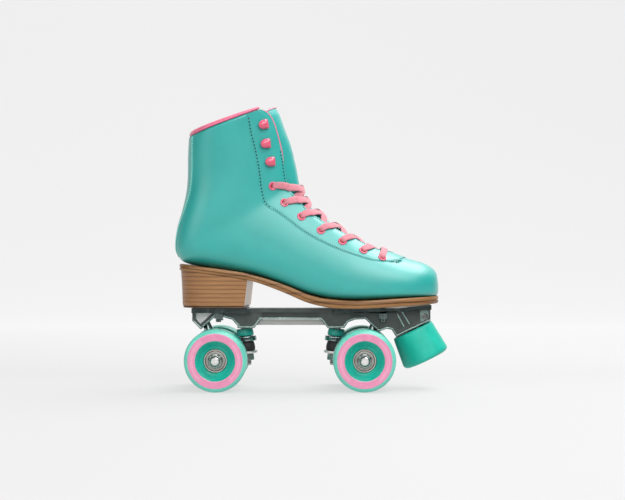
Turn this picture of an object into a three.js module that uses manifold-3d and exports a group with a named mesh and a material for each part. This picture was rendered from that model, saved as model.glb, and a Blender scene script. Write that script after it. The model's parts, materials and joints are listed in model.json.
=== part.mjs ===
// Quad roller skate for the right foot, as one assembly of separate parts.
// Millimetres, +Z up, +X towards the toe, +Y towards the inner side of the foot.
// The origin is on the ground under the middle of the skate.
import * as THREE from 'three';
import { mergeVertices } from 'three/addons/utils/BufferGeometryUtils.js';
import Module from 'manifold-3d';

const wasm = await Module();
wasm.setup();

// ---------- driving dimensions ----------
const GAP = 0.3; // clearance between parts that touch

const WHEEL_RADIUS = 29;
const WHEEL_HALF_WIDTH = 16;
const WHEEL_Y = 38; // middle of a wheel, from the centre plane
const BEARING_RADIUS = 11;
const BEARING_WIDTH = 7;
const BEARING_RECESS = 5.5; // bearing face below the wheel face
const AXLE_RADIUS = 4;
const AXLE_HALF_LENGTH = 58;
const AXLE_NUT_FLATS = 12.5;

const REAR_AXLE_X = -89.3;
const FRONT_AXLE_X = 47.9;
const PIVOT = { out: 12.5, up: 37 }; // pivot ball, from the axle
const RING = { in: 25.9, up: 18.1 }; // kingpin ring of the hanger, from the axle
const KINGPIN_LEAN = THREE.MathUtils.degToRad(5);
const KINGPIN_RADIUS = 4;
const PIVOT_AXIS = [0.67, 0, -0.742]; // the way the mouth of a pivot socket faces
const RING_RADIUS = 10.5;
const RING_HALF_HEIGHT = 2.35;
const BALL_RADIUS = 5;

const PLATE_TOP = 76.5;
const FLANGE_THICKNESS = 4.4;
const FLANGE_HALF_WIDTH = 24;
const SPINE_HALF_WIDTH = 13;
const MOUNT_BOLTS = { rearX: -88, frontX: 66, y: 19, bottom: 63.6, heelTop: 100, ballTop: 82, radius: 2.5 };

const STOP_TILT = THREE.MathUtils.degToRad(25.8);
const STOP_TOP = { x: 94.4, z: 55.9 };
const STOP_HEIGHT = 31.5;
const STOP_TOP_RADIUS = 20;
const STOP_BOTTOM_RADIUS = 22.7;
const CLAMP_SCREW = { x: 105.5, z: 68.5, radius: 2, headRadius: 3.2, head: 3, reach: 11 };

const SHELL = 1.8; // vinyl of the boot
const LINING_FROM = 2.1; // depth of the lining below the outer surface
const LINING_TO = 3.9;
const TAPE_FROM = 2.1; // reinforcing tape that holds the eyelets
const TAPE_TO = 2.6;
const TONGUE_TOP = 20.92; // station of the tongue's top edge
const TONGUE_FROM = 6.4; // padded tongue, below the outer surface
const TONGUE_TO = 10;

const EYELET_STEPS = [5.65, 6.6, 7.72, 9, 10.4, 12.15, 14.3]; // boot stations, toe to ankle
const HOOK_STEPS = [16.9, 18.6, 19.95];
const EYELET_FLANGE_RADIUS = 4.15;
const EYELET_HOLE_RADIUS = 2.5;
const LACE_WIDTH = 6.5;
const LACE_THICKNESS = 1;
const LACE_ABOVE = -2.7; // depth of a strand that lies on the eyestay
const LACE_BELOW = 5; // depth of a strand that runs under the eyestay
const LACE_REST = 4; // depth of a strand that rests on the tongue
const LACE_OVERLAP = 2.2; // how far the upper strand of a crossing lies above the lower one

// ---------- materials ----------
const vinyl = { color: '#3fc4b0', roughness: 0.42, metalness: 0 };
const pinkLining = { color: '#e96f8e', roughness: 0.7, metalness: 0 };
const pinkLace = { color: '#ef8095', roughness: 0.85, metalness: 0 };
const pinkEnamel = { color: '#ec6f88', roughness: 0.3, metalness: 0 };
const woodHeel = { color: '#9a6a40', roughness: 0.55, metalness: 0 };
const soleLeather = { color: '#a87242', roughness: 0.5, metalness: 0 };
const blackRubber = { color: '#17181a', roughness: 0.75, metalness: 0 };
const polishedMetal = { color: '#c9ced0', roughness: 0.14, metalness: 1 };
const zincSteel = { color: '#8e9396', roughness: 0.3, metalness: 1 };
const tealUrethane = { color: '#2fb8a0', roughness: 0.3, metalness: 0 };
const tealRubber = { color: '#12a58b', roughness: 0.4, metalness: 0 };
const insoleFoam = { color: '#e9e4da', roughness: 0.9, metalness: 0 };

// ---------- solids ----------
function signedVolume(positions, index) {
  const a = new THREE.Vector3();
  const b = new THREE.Vector3();
  const c = new THREE.Vector3();
  let volume = 0;
  for (let i = 0; i < index.length; i += 3) {
    a.fromArray(positions, index[i] * 3);
    b.fromArray(positions, index[i + 1] * 3);
    c.fromArray(positions, index[i + 2] * 3);
    volume += a.dot(b.cross(c)) / 6;
  }
  return volume;
}

// A closed three.js geometry becomes a manifold solid whose faces point out.
function solid(geometry) {
  const bare = geometry.index ? geometry.toNonIndexed() : geometry.clone();
  bare.deleteAttribute('normal');
  bare.deleteAttribute('uv');
  const merged = mergeVertices(bare, 1e-4);
  const positions = merged.attributes.position.array;
  const triangles = [];
  for (let i = 0; i < merged.index.count; i += 3) {
    const [a, b, c] = [0, 1, 2].map((k) => merged.index.getX(i + k));
    if (a !== b && b !== c && c !== a) triangles.push(a, b, c);
  }
  if (signedVolume(positions, triangles) < 0) triangles.reverse();
  return new wasm.Manifold(new wasm.Mesh({
    numProp: 3,
    vertProperties: new Float32Array(positions),
    triVerts: new Uint32Array(triangles),
  }));
}

function geometryOf(shape) {
  const mesh = shape.getMesh();
  const geometry = new THREE.BufferGeometry();
  geometry.setAttribute('position', new THREE.BufferAttribute(mesh.vertProperties, 3));
  geometry.setIndex(new THREE.BufferAttribute(mesh.triVerts, 1));
  geometry.computeVertexNormals();
  return geometry;
}

function part(name, shape, finish) {
  const mesh = new THREE.Mesh(geometryOf(shape), new THREE.MeshStandardMaterial(finish));
  mesh.name = name;
  return mesh;
}

function join(...shapes) {
  return shapes.reduce((whole, shape) => whole.add(shape));
}

function cut(shape, ...tools) {
  return tools.reduce((rest, tool) => rest.subtract(tool), shape);
}

// A profile of [radius, height] pairs turned about Z.
function turned(profile, segments = 14) {
  const points = profile.map(([r, h]) => new THREE.Vector2(r, h));
  return new THREE.LatheGeometry(points, segments).rotateX(Math.PI / 2);
}

function disc(radius, from, to, segments = 16) {
  return turned([[0, from], [radius, from], [radius, to], [0, to]], segments);
}

function ringProfile(inner, outer, from, to) {
  return [[inner, from], [outer, from], [outer, to], [inner, to], [inner, from]];
}

function outline(points) {
  return new THREE.Shape(points.map(([u, v]) => new THREE.Vector2(u, v)));
}

// A side outline of [x, z] pairs, thick across Y.
function slabAcross(points, fromY, toY) {
  const geometry = new THREE.ExtrudeGeometry(outline(points), { depth: toY - fromY, bevelEnabled: false });
  return solid(geometry.rotateX(Math.PI / 2).translate(0, toY, 0));
}

// A tapered round bar between two points.
function bar(from, to, fromRadius, toRadius, segments = 14) {
  const a = new THREE.Vector3(...from);
  const b = new THREE.Vector3(...to);
  const length = a.distanceTo(b);
  const geometry = turned([[0, 0], [fromRadius, 0], [toRadius, length], [0, length]], segments);
  const up = new THREE.Vector3(0, 0, 1);
  const turn = new THREE.Quaternion().setFromUnitVectors(up, b.clone().sub(a).normalize());
  return solid(geometry.applyQuaternion(turn).translate(...from));
}

function box(from, to) {
  const size = to.map((value, i) => value - from[i]);
  const middle = to.map((value, i) => (value + from[i]) / 2);
  return solid(new THREE.BoxGeometry(...size).translate(...middle));
}

function hexagon(flats, from, to) {
  const geometry = disc(flats / Math.sqrt(3), from, to, 6);
  return solid(geometry);
}

// The cap of a loft, cut into triangles in the section's own plane.
function capTriangles(ring) {
  const normal = new THREE.Vector3();
  ring.forEach((p, i) => {
    const q = ring[(i + 1) % ring.length];
    normal.x += (p.y - q.y) * (p.z + q.z);
    normal.y += (p.z - q.z) * (p.x + q.x);
    normal.z += (p.x - q.x) * (p.y + q.y);
  });
  normal.normalize();
  const side = Math.abs(normal.y) < 0.9 ? new THREE.Vector3(0, 1, 0) : new THREE.Vector3(1, 0, 0);
  const u = side.cross(normal).normalize();
  const v = normal.clone().cross(u);
  const flat = ring.map((p) => new THREE.Vector2(p.dot(u), p.dot(v)));
  return THREE.ShapeUtils.triangulateShape(flat, []);
}

// A closed solid through sections that all have the same number of points.
function loft(rings) {
  const count = rings[0].length;
  const index = [];
  for (let i = 0; i + 1 < rings.length; i += 1) {
    for (let j = 0; j < count; j += 1) {
      const k = (j + 1) % count;
      const [a, b, c, d] = [i * count + j, i * count + k, (i + 1) * count + k, (i + 1) * count + j];
      index.push(a, b, c, a, c, d);
    }
  }
  const last = (rings.length - 1) * count;
  capTriangles(rings[0]).forEach(([a, b, c]) => index.push(a, c, b));
  capTriangles(rings.at(-1)).forEach(([a, b, c]) => index.push(last + a, last + b, last + c));
  const geometry = new THREE.BufferGeometry();
  const positions = rings.flat().flatMap((p) => [p.x, p.y, p.z]);
  geometry.setAttribute('position', new THREE.Float32BufferAttribute(positions, 3));
  geometry.setIndex(index);
  return solid(geometry);
}

// ---------- boot surface ----------
// Sections from the toe tip, round the instep, up to the collar. Each is a rounded ring from
// the sole or back line to the instep or front line. The columns are: sole or back point x, z;
// instep or front point x, z; middle y; half width; where the ring is widest (0 at the sole,
// 1 at the front); squareness of the front half and of the sole half (2 is an ellipse).
const BOOT = [
  [118.6, 89.4, 118.6, 102.5, 5.0, 9.0, 0.40, 2.2, 2.6],
  [117.0, 88.0, 116.9, 110.0, 5.0, 18.0, 0.36, 2.3, 3.2],
  [112.5, 87.3, 112.0, 115.0, 4.6, 26.0, 0.33, 2.3, 4.0],
  [104.0, 86.8, 103.5, 119.2, 4.0, 32.5, 0.30, 2.3, 4.4],
  [92.0, 86.2, 91.5, 122.6, 3.0, 37.6, 0.28, 2.2, 4.6],
  [76.0, 85.3, 76.0, 128.2, 1.5, 40.6, 0.28, 2.1, 4.6],
  [58.0, 84.3, 58.5, 136.0, 0.3, 41.6, 0.28, 2.1, 4.6],
  [38.0, 83.9, 40.0, 147.5, -0.4, 41.0, 0.28, 2.1, 4.6],
  [18.0, 84.9, 25.0, 158.0, -0.8, 38.2, 0.32, 2.0, 4.4],
  [-4.0, 89.6, 11.5, 168.0, -0.8, 35.0, 0.35, 2.0, 4.2],
  [-28.0, 98.8, 0.8, 177.0, -0.6, 32.2, 0.37, 2.0, 4.0],
  [-54.0, 107.3, -4.6, 185.4, -0.4, 31.0, 0.39, 2.0, 3.8],
  [-84.0, 112.2, -6.9, 192.6, -0.2, 30.4, 0.42, 2.0, 3.4],
  [-118.0, 118.2, -8.2, 199.8, 0, 30.0, 0.44, 2.0, 2.9],
  [-127.2, 126.6, -9.3, 206.8, 0, 30.2, 0.46, 2.0, 2.5],
  [-129.2, 138.0, -10.6, 213.8, 0, 30.8, 0.47, 2.0, 2.3],
  [-127.2, 153.0, -12.2, 220.8, 0, 31.4, 0.48, 2.0, 2.2],
  [-122.6, 169.0, -14.2, 228.5, 0, 32.0, 0.48, 2.0, 2.2],
  [-118.9, 185.0, -17.0, 237.0, 0, 32.8, 0.48, 2.0, 2.2],
  [-117.4, 201.0, -20.5, 246.0, 0, 33.8, 0.48, 2.1, 2.2],
  [-117.2, 219.0, -24.3, 257.4, 0, 35.2, 0.48, 2.1, 2.2],
  [-116.2, 236.8, -28.3, 268.9, 0, 37.0, 0.48, 2.1, 2.2],
  [-114.4, 251.0, -32.6, 277.6, 0, 38.4, 0.48, 2.1, 2.2],
];
const COLLAR_STATION = 21; // the top edge; the section after it is for cuts that run past the edge
const LAST_STATION = BOOT.length - 1;

// Angle from the front line to the edge of the throat, and to the seam of the eyestay.
const THROAT = [[5.2, 4], [5.5, 18], [6, 25], [7, 30], [9, 36], [11, 38], [13, 40], [18, 42], [20, 43.5],
  [21, 50], [22, 56]];
const FACING = [[3.95, 8], [4.1, 26], [4.4, 41], [5, 54], [6, 57], [7, 59], [9, 64], [11, 65], [13, 60],
  [15, 65], [17, 71], [19, 75], [22, 75]];
const EYELET_LINE = [[5.3, 42], [5.65, 44], [7, 47], [9, 51], [11, 52], [14, 55], [16.9, 57.4], [18.6, 60.2],
  [19.95, 58.5], [22, 58.5]];
const BACKSTAY = [[13.8, 8], [15, 14], [16, 20], [17, 26], [18, 30], [20, 32], [22, 31]];

function catmull(a, b, c, d, t) {
  return 0.5 * (2 * b + (c - a) * t + (2 * a - 5 * b + 4 * c - d) * t * t
    + (3 * b - a - 3 * c + d) * t * t * t);
}

function sectionAt(station) {
  const i = Math.min(Math.floor(station), LAST_STATION - 1);
  const rows = [i - 1, i, i + 1, i + 2].map((k) => BOOT[THREE.MathUtils.clamp(k, 0, LAST_STATION)]);
  return rows[0].map((_, column) => catmull(...rows.map((row) => row[column]), station - i));
}

function valueAt(table, key) {
  const last = table.length - 1;
  if (key <= table[0][0]) return table[0][1];
  if (key >= table[last][0]) return table[last][1];
  const i = table.findIndex(([k]) => k > key) - 1;
  const t = (key - table[i][0]) / (table[i + 1][0] - table[i][0]);
  return THREE.MathUtils.lerp(table[i][1], table[i + 1][1], t);
}

// A point of the boot: angle 0 is the front line, 180 the sole or back line, and a positive
// angle is the inner side of the foot. depth is measured inwards from the outer surface.
function onBoot(station, degrees, depth = 0) {
  const [bx, bz, fx, fz, middle, halfWidth, widest, frontSquare, soleSquare] = sectionAt(station);
  const angle = THREE.MathUtils.degToRad(degrees);
  const length = Math.hypot(fx - bx, fz - bz);
  const front = Math.cos(angle) >= 0;
  const power = 2 / (front ? frontSquare : soleSquare);
  const reach = (front ? (1 - widest) : widest) * length - depth;
  const along = widest * length + Math.sign(Math.cos(angle)) * reach * Math.abs(Math.cos(angle)) ** power;
  const across = Math.sign(Math.sin(angle)) * (halfWidth - depth) * Math.abs(Math.sin(angle)) ** power;
  return new THREE.Vector3(
    bx + ((fx - bx) * along) / length,
    middle + across,
    bz + ((fz - bz) * along) / length,
  );
}

function outwardAt(station, degrees) {
  const here = onBoot(station, degrees);
  const alongLeg = onBoot(station + 0.1, degrees).sub(here);
  const around = onBoot(station, degrees + 1).sub(here);
  return around.cross(alongLeg).normalize();
}

function stations(from, to, step) {
  const count = Math.max(1, Math.round((to - from) / step));
  return Array.from({ length: count + 1 }, (_, i) => from + ((to - from) * i) / count);
}

const AROUND = 18; // points round one boot section

function bootSolid(depth, from, to) {
  const angles = Array.from({ length: AROUND }, (_, i) => (360 * i) / AROUND);
  return loft(stations(from, to, 1).map((s) => angles.map((a) => onBoot(s, a, depth))));
}

// A slice through the boot's wall between two angles, at a list of stations.
function sector(fromAngle, toAngle, list) {
  return loft(list.map((s) => {
    const middle = onBoot(s, 90).add(onBoot(s, -90)).multiplyScalar(0.5);
    const at = (t, scale) => {
      const p = onBoot(s, THREE.MathUtils.lerp(fromAngle(s), toAngle(s), t));
      return p.sub(middle).multiplyScalar(scale).add(middle);
    };
    return [at(0, 0.75), at(0, 1.35), at(0.5, 1.35), at(1, 1.35), at(1, 0.75), at(0.5, 0.75)];
  }));
}

// The slice about the front or the back line whose half angle a table gives by station.
function wedge(table, extra, about, from = table[0][0]) {
  const keys = table.map(([key]) => key);
  const whole = stations(Math.ceil(from), LAST_STATION, 1).filter((s) => s > from);
  const list = [from, ...new Set([...keys.filter((key) => key > from), ...whole])].sort((a, b) => a - b);
  return sector((s) => about - valueAt(table, s) - extra, (s) => about + valueAt(table, s) + extra, list);
}

// The space between two depths below the boot's surface, from a station up.
function layer(outerDepth, innerDepth, from) {
  return bootSolid(outerDepth, from, LAST_STATION).subtract(bootSolid(innerDepth, from, LAST_STATION));
}

// ---------- boot parts ----------
const throatCut = wedge(THROAT, 0, 0);
const facingRegion = wedge(FACING, 0, 0);
const facingCut = wedge(FACING, 0.7, 0, 3.93);
const backstayRegion = wedge(BACKSTAY, 0, 180);
const backstayCut = wedge(BACKSTAY, 0.7, 180, 13.77);

function shellBetween(outerDepth, innerDepth, from) {
  return bootSolid(outerDepth, from, COLLAR_STATION).subtract(bootSolid(innerDepth, from + 1, LAST_STATION));
}

const bootShell = shellBetween(0, SHELL, 0);

function eyeletAngle(station) {
  return valueAt(EYELET_LINE, station);
}

function eyeletBar(station, side, radius, fromDepth, toDepth, segments = 6) {
  const angle = side * eyeletAngle(station);
  const out = outwardAt(station, angle);
  const seat = onBoot(station, angle);
  const from = seat.clone().addScaledVector(out, -fromDepth);
  const to = seat.clone().addScaledVector(out, -toDepth);
  return bar(from.toArray(), to.toArray(), radius, radius, segments);
}

function eyeletHoles(radius, fromDepth, toDepth) {
  const pair = (s) => [-1, 1].map((side) => eyeletBar(s, side, radius, fromDepth, toDepth));
  return join(...EYELET_STEPS.flatMap(pair));
}

function makeEyestay() {
  const panel = bootShell.intersect(facingRegion).subtract(throatCut);
  return part('eyestay', cut(panel, eyeletHoles(EYELET_HOLE_RADIUS + 0.9, 4, -2)), vinyl);
}

function makeUpper() {
  return part('upper', cut(bootShell, facingCut, backstayCut), vinyl);
}

function makeBackstay() {
  return part('backstay', bootShell.intersect(backstayRegion), vinyl);
}

function makeLining() {
  const sock = shellBetween(LINING_FROM, LINING_TO, 2);
  const frontCut = wedge(FACING, 2, 0, 3.8);
  return part('lining', sock.subtract(frontCut), pinkLining);
}

function makeTongue() {
  const half = (t) => Math.min(valueAt(FACING, t) - 5, 56);
  const slice = sector((t) => -half(t), half, stations(4.9, TONGUE_TOP, 1));
  return part('tongue', layer(TONGUE_FROM, TONGUE_TO, 4).intersect(slice), vinyl);
}

function eyeletRow(name, side) {
  const edge = (offset) => (t) => side * (eyeletAngle(t) + side * offset);
  const slice = sector(edge(-7), edge(7), stations(EYELET_STEPS[0] - 0.3, EYELET_STEPS.at(-1) + 0.5, 1));
  const tape = layer(TAPE_FROM, TAPE_TO, 4).intersect(slice);
  const barrels = EYELET_STEPS.flatMap((s) => [
    eyeletBar(s, side, EYELET_HOLE_RADIUS + 0.6, TAPE_TO + 0.6, -0.6),
    eyeletBar(s, side, EYELET_FLANGE_RADIUS, -0.35, -0.9),
  ]);
  const holes = EYELET_STEPS.map((s) => eyeletBar(s, side, EYELET_HOLE_RADIUS, 5, -3));
  return part(name, cut(join(tape, ...barrels), ...holes), pinkEnamel);
}

// A lace hook: a round foot riveted to the eyestay, a neck and a cap that leans away from the throat.
function laceHook(name, station, side) {
  const angle = side * eyeletAngle(station);
  const out = outwardAt(station, angle);
  const foot = solid(disc(4, 0.35, 1.2, 16));
  const neck = slabAcross([[-3, 0.6], [-0.6, 0.6], [-0.6, 3.4], [4.6, 3.4], [4.6, 5], [-3, 5]], -3, 3);
  const lip = slabAcross([[3.6, 2.4], [4.6, 2.4], [4.6, 4], [3.6, 4]], -3, 3);
  const hook = part(name, join(foot, neck, lip), pinkEnamel);
  const back = onBoot(station, angle + side * 4).sub(onBoot(station, angle));
  back.addScaledVector(out, -back.dot(out)).normalize();
  const third = out.clone().cross(back);
  hook.quaternion.setFromRotationMatrix(new THREE.Matrix4().makeBasis(back, third, out));
  hook.position.copy(onBoot(station, angle));
  return hook;
}

// The padded roll along the top edge, thick at the heel and thin at the throat.
function makeCollar() {
  const sides = 8;
  const top = COLLAR_STATION;
  const up = onBoot(top + 0.3, 180).sub(onBoot(top, 180)).normalize();
  const throat = valueAt(THROAT, top) + 2;
  const count = 24;
  const rings = Array.from({ length: count + 1 }, (_, i) => {
    const angle = throat + ((360 - 2 * throat) * i) / count;
    const towardBack = Math.abs(angle - 180) / (180 - throat);
    const radius = THREE.MathUtils.lerp(2.7, 1.6, towardBack ** 1.3);
    const edge = onBoot(top, angle, 2.2);
    const inward = onBoot(top, angle, 12).sub(edge).normalize();
    const centre = edge.clone().addScaledVector(up, radius + GAP + 0.1);
    return Array.from({ length: sides }, (__, j) => {
      const turn = (2 * Math.PI * j) / sides;
      return centre.clone()
        .addScaledVector(inward, 0.85 * radius * Math.cos(turn))
        .addScaledVector(up, radius * Math.sin(turn));
    });
  });
  return part('collar', loft(rings), pinkLining);
}

// ---------- lace ----------
function laceRibbon(path) {
  const rings = path.map(([s, a, depth], i) => {
    const here = onBoot(s, a, depth);
    const before = path[Math.max(i - 1, 0)];
    const after = path[Math.min(i + 1, path.length - 1)];
    const run = onBoot(...after).sub(onBoot(...before)).normalize();
    const out = outwardAt(s, a === 0 ? 0.01 : a);
    const wide = run.clone().cross(out).normalize().multiplyScalar(LACE_WIDTH / 2);
    const high = wide.clone().cross(run).normalize().multiplyScalar(LACE_THICKNESS / 2);
    return [[1, 1], [1, -1], [-1, -1], [-1, 1]].map(
      ([w, h]) => here.clone().addScaledVector(wide, w).addScaledVector(high, h),
    );
  });
  return loft(rings);
}

// The station on the front line that lies straight across from the eyelet of a station.
function levelStation(station) {
  const seat = onBoot(station, eyeletAngle(station));
  seat.y = 0;
  const miss = (s) => Math.abs(onBoot(s, 0).sub(seat).dot(onBoot(s + 0.1, 0).sub(onBoot(s - 0.1, 0))));
  return stations(station - 4.5, station, 0.05).reduce((best, s) => (miss(s) < miss(best) ? s : best));
}

// The station of a lace that runs straight over the front from one eyelet to another.
function stationAcross(fromStation, toStation, start, t, angle) {
  const { lerp, degToRad } = THREE.MathUtils;
  const drop = lerp(levelStation(fromStation) - fromStation, levelStation(toStation) - toStation, t);
  const reach = Math.cos(degToRad(start));
  const rise = (Math.cos(degToRad(angle)) - reach) / (1 - reach);
  return lerp(fromStation, toStation, t) + drop * Math.max(rise, 0);
}

function crossing(fromStation, toStation, side, lift) {
  const start = side * eyeletAngle(fromStation);
  const end = -side * eyeletAngle(toStation);
  const lip = side * (valueAt(THROAT, fromStation) - 3);
  const edge = -side * (valueAt(THROAT, toStation) - 5);
  const at = (t, angle, depth) => [stationAcross(fromStation, toStation, start, t, angle), angle, depth];
  return laceRibbon([
    at(0, start * 1.06, LACE_ABOVE),
    at(0.15, start * 0.76, LACE_ABOVE),
    at(0.3, lip, -1.6 - lift / 3),
    at(0.5, 0, LACE_REST - lift),
    at(0.68, edge * 0.5, LACE_REST),
    at(0.85, edge, 4.6),
    at(1, end * 1.05, LACE_BELOW),
  ]);
}

function makeLace() {
  const pieces = [];
  const last = EYELET_STEPS.length - 1;
  for (let i = last; i > 0; i -= 1) {
    pieces.push(crossing(EYELET_STEPS[i], EYELET_STEPS[i - 1], -1, 0));
    pieces.push(crossing(EYELET_STEPS[i], EYELET_STEPS[i - 1], 1, LACE_OVERLAP));
  }
  const toe = EYELET_STEPS[0];
  const reach = eyeletAngle(toe) * 1.06;
  const bend = [-1, -0.5, 0, 0.5, 1].map((t) => reach * t);
  pieces.push(laceRibbon(bend.map((angle) => [stationAcross(toe, toe, reach, 0, angle), angle, LACE_ABOVE])));
  EYELET_STEPS.forEach((s) => [-1, 1].forEach((side) => {
    pieces.push(eyeletBar(s, side, 1.7, LACE_BELOW + 0.3, LACE_ABOVE - 0.3, 6));
  }));
  return part('lace', cut(join(...pieces), layer(TONGUE_FROM - GAP, TONGUE_TO + 2, 4)), pinkLace);
}

// ---------- sole and heel ----------
// Plan of the sole's two edges as [x, y], and its side profile as [x, z].
const OUTER_EDGE = [[-125.6, 0], [-125, -9], [-121, -19], [-112, -26.5], [-95, -30], [-70, -29.6],
  [-45, -28], [-20, -29.5], [10, -36], [40, -42.6], [62, -43.2], [84, -39], [101, -30], [112, -18.5],
  [117.6, -7], [119.4, 4]];
const INNER_EDGE = [[-125.6, 0], [-125, 9], [-121, 19], [-112, 26.5], [-95, 30], [-70, 28.5], [-45, 25.5],
  [-20, 25.5], [10, 31], [40, 39], [62, 43], [84, 42], [101, 36], [112, 26], [117.6, 15], [119.4, 4]];
const SOLE_TOP = [[-126, 117.8], [-80, 111.9], [-56.6, 107.6], [-28.2, 98.9], [-8, 90.6],
  [0.4, 87.8], [11.3, 85.4], [28, 83.9], [45.2, 83.5], [80.8, 85.5], [120, 87.6]];
const SOLE_BOTTOM = [[-126, 112.2], [-80, 106.2], [-55, 101.6], [-28.2, 92], [-9.1, 83.7],
  [3, 79.9], [15.2, 77.6], [24, 76.8], [45, 76.8], [80.8, 78.5], [120, 81]];
const HEEL_GROUND = 78.5; // underside of the heel block
const HEEL_ROUND = 30; // radius of the heel's back in plan

function soleSlab(outset, extraTop, extraBottom) {
  const first = OUTER_EDGE[0][0];
  const last = OUTER_EDGE.at(-1)[0];
  const steps = 24;
  const rings = Array.from({ length: steps + 1 }, (_, i) => {
    const x = (first + last) / 2 - ((last - first) / 2) * Math.cos((Math.PI * (i + 0.35)) / (steps + 0.7));
    const outerY = valueAt(OUTER_EDGE, x) - outset;
    const innerY = valueAt(INNER_EDGE, x) + outset;
    const top = valueAt(SOLE_TOP, x) + extraTop;
    const bottom = valueAt(SOLE_BOTTOM, x) - extraBottom;
    return [[outerY, bottom], [innerY, bottom], [innerY, top], [outerY, top]]
      .map(([y, z]) => new THREE.Vector3(x, y, z));
  });
  return loft(rings);
}

function mountBoltSites() {
  const { rearX, frontX, y } = MOUNT_BOLTS;
  const row = (end, x) => [[`${end}_outer`, x, -y], [`${end}_inner`, x, y]];
  return [...row('rear', rearX), ...row('front', frontX)];
}

// The bolts at the heel reach through the heel block, those at the ball only through the sole.
function boltTop(x) {
  return x < 0 ? MOUNT_BOLTS.heelTop : MOUNT_BOLTS.ballTop;
}

function mountBoltHoles() {
  const radius = MOUNT_BOLTS.radius + GAP;
  const { bottom } = MOUNT_BOLTS;
  const hole = ([, x, y]) => bar([x, y, bottom - 3.6], [x, y, boltTop(x) + 0.7], radius, radius, 12);
  return join(...mountBoltSites().map(hole));
}

function makeOutsole() {
  const bed = bootSolid(-GAP, 0, COLLAR_STATION);
  return part('outsole', cut(soleSlab(0, 1.6, 0), bed, mountBoltHoles()), soleLeather);
}

// A plan section of the heel: round at the back, straight at the breast.
function heelSection(z, back, breastOuter, breastInner, halfWidth) {
  const bend = Array.from({ length: 13 }, (_, i) => {
    const turn = Math.PI / 2 + (Math.PI * i) / 12;
    const x = back + HEEL_ROUND + HEEL_ROUND * Math.cos(turn);
    return new THREE.Vector3(x, halfWidth * Math.sin(turn), z);
  });
  return [
    ...bend,
    new THREE.Vector3(breastOuter, -halfWidth + 0.8, z),
    new THREE.Vector3(breastInner, halfWidth - 0.8, z),
  ];
}

function makeHeelBlock() {
  const block = loft([
    heelSection(HEEL_GROUND, -122.9, -64.0, -60.0, 28.2),
    heelSection(92, -123.4, -63.2, -59.2, 28.6),
    heelSection(119, -125.0, -60.6, -56.6, 29.6),
  ]);
  const above = soleSlab(3, 60, GAP);
  return part('heel_block', cut(block, above, mountBoltHoles()), woodHeel);
}

function makeHeelLift() {
  const levels = [PLATE_TOP + GAP, HEEL_GROUND - GAP];
  const lift = loft(levels.map((z) => heelSection(z, -122.3, -64.6, -60.6, 27.6)));
  return part('heel_lift', cut(lift, mountBoltHoles()), soleLeather);
}

function makeInsole() {
  const rings = stations(-108, 104, 12).map((x) => {
    const t = (x + 108) / 212;
    const inset = 9 + 2.5 * Math.abs(2 * t - 1);
    const half = Math.min(-valueAt(OUTER_EDGE, x), valueAt(INNER_EDGE, x)) - inset;
    const low = valueAt(SOLE_TOP, x) + LINING_TO + 1.6;
    const high = low + 2.4;
    const corners = [[-half, low], [half, low], [half, high], [-half, high]];
    return corners.map(([y, z]) => new THREE.Vector3(x, y, z));
  });
  const cavity = bootSolid(LINING_TO + 0.5, 3, LAST_STATION);
  return part('insole', loft(rings).intersect(cavity), insoleFoam);
}

// ---------- plate ----------
const SPINE = [[-113, PLATE_TOP], [-113, 64.4], [-105, 56.3], [-91.8, 68.3], [-85.5, 68.3], [-75.6, 65.6],
  [-70.5, 59.8], [-70.5, 57.6], [-54.6, 57.6], [-48.7, 65.8], [8, 65.8], [14.1, 57.6], [29.9, 57.6],
  [33.6, 63.2], [40, 65.6], [49.4, 66.1], [62.4, 54.2], [69.5, 57], [74.6, 56], [78.6, 49.4],
  [110.8, 64.6], [110.8, 79.6], [80, PLATE_TOP]];

function pivotSocket(x, z, inboard) {
  const mouth = new THREE.Vector3(...PIVOT_AXIS);
  mouth.x *= inboard;
  const centre = new THREE.Vector3(x, 0, z);
  const at = (distance) => centre.clone().addScaledVector(mouth, distance).toArray();
  return [bar(at(2), at(-8.4), 7.3, 7.3), bar(at(1.5), at(9), 7.3, 10.5)];
}

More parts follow.
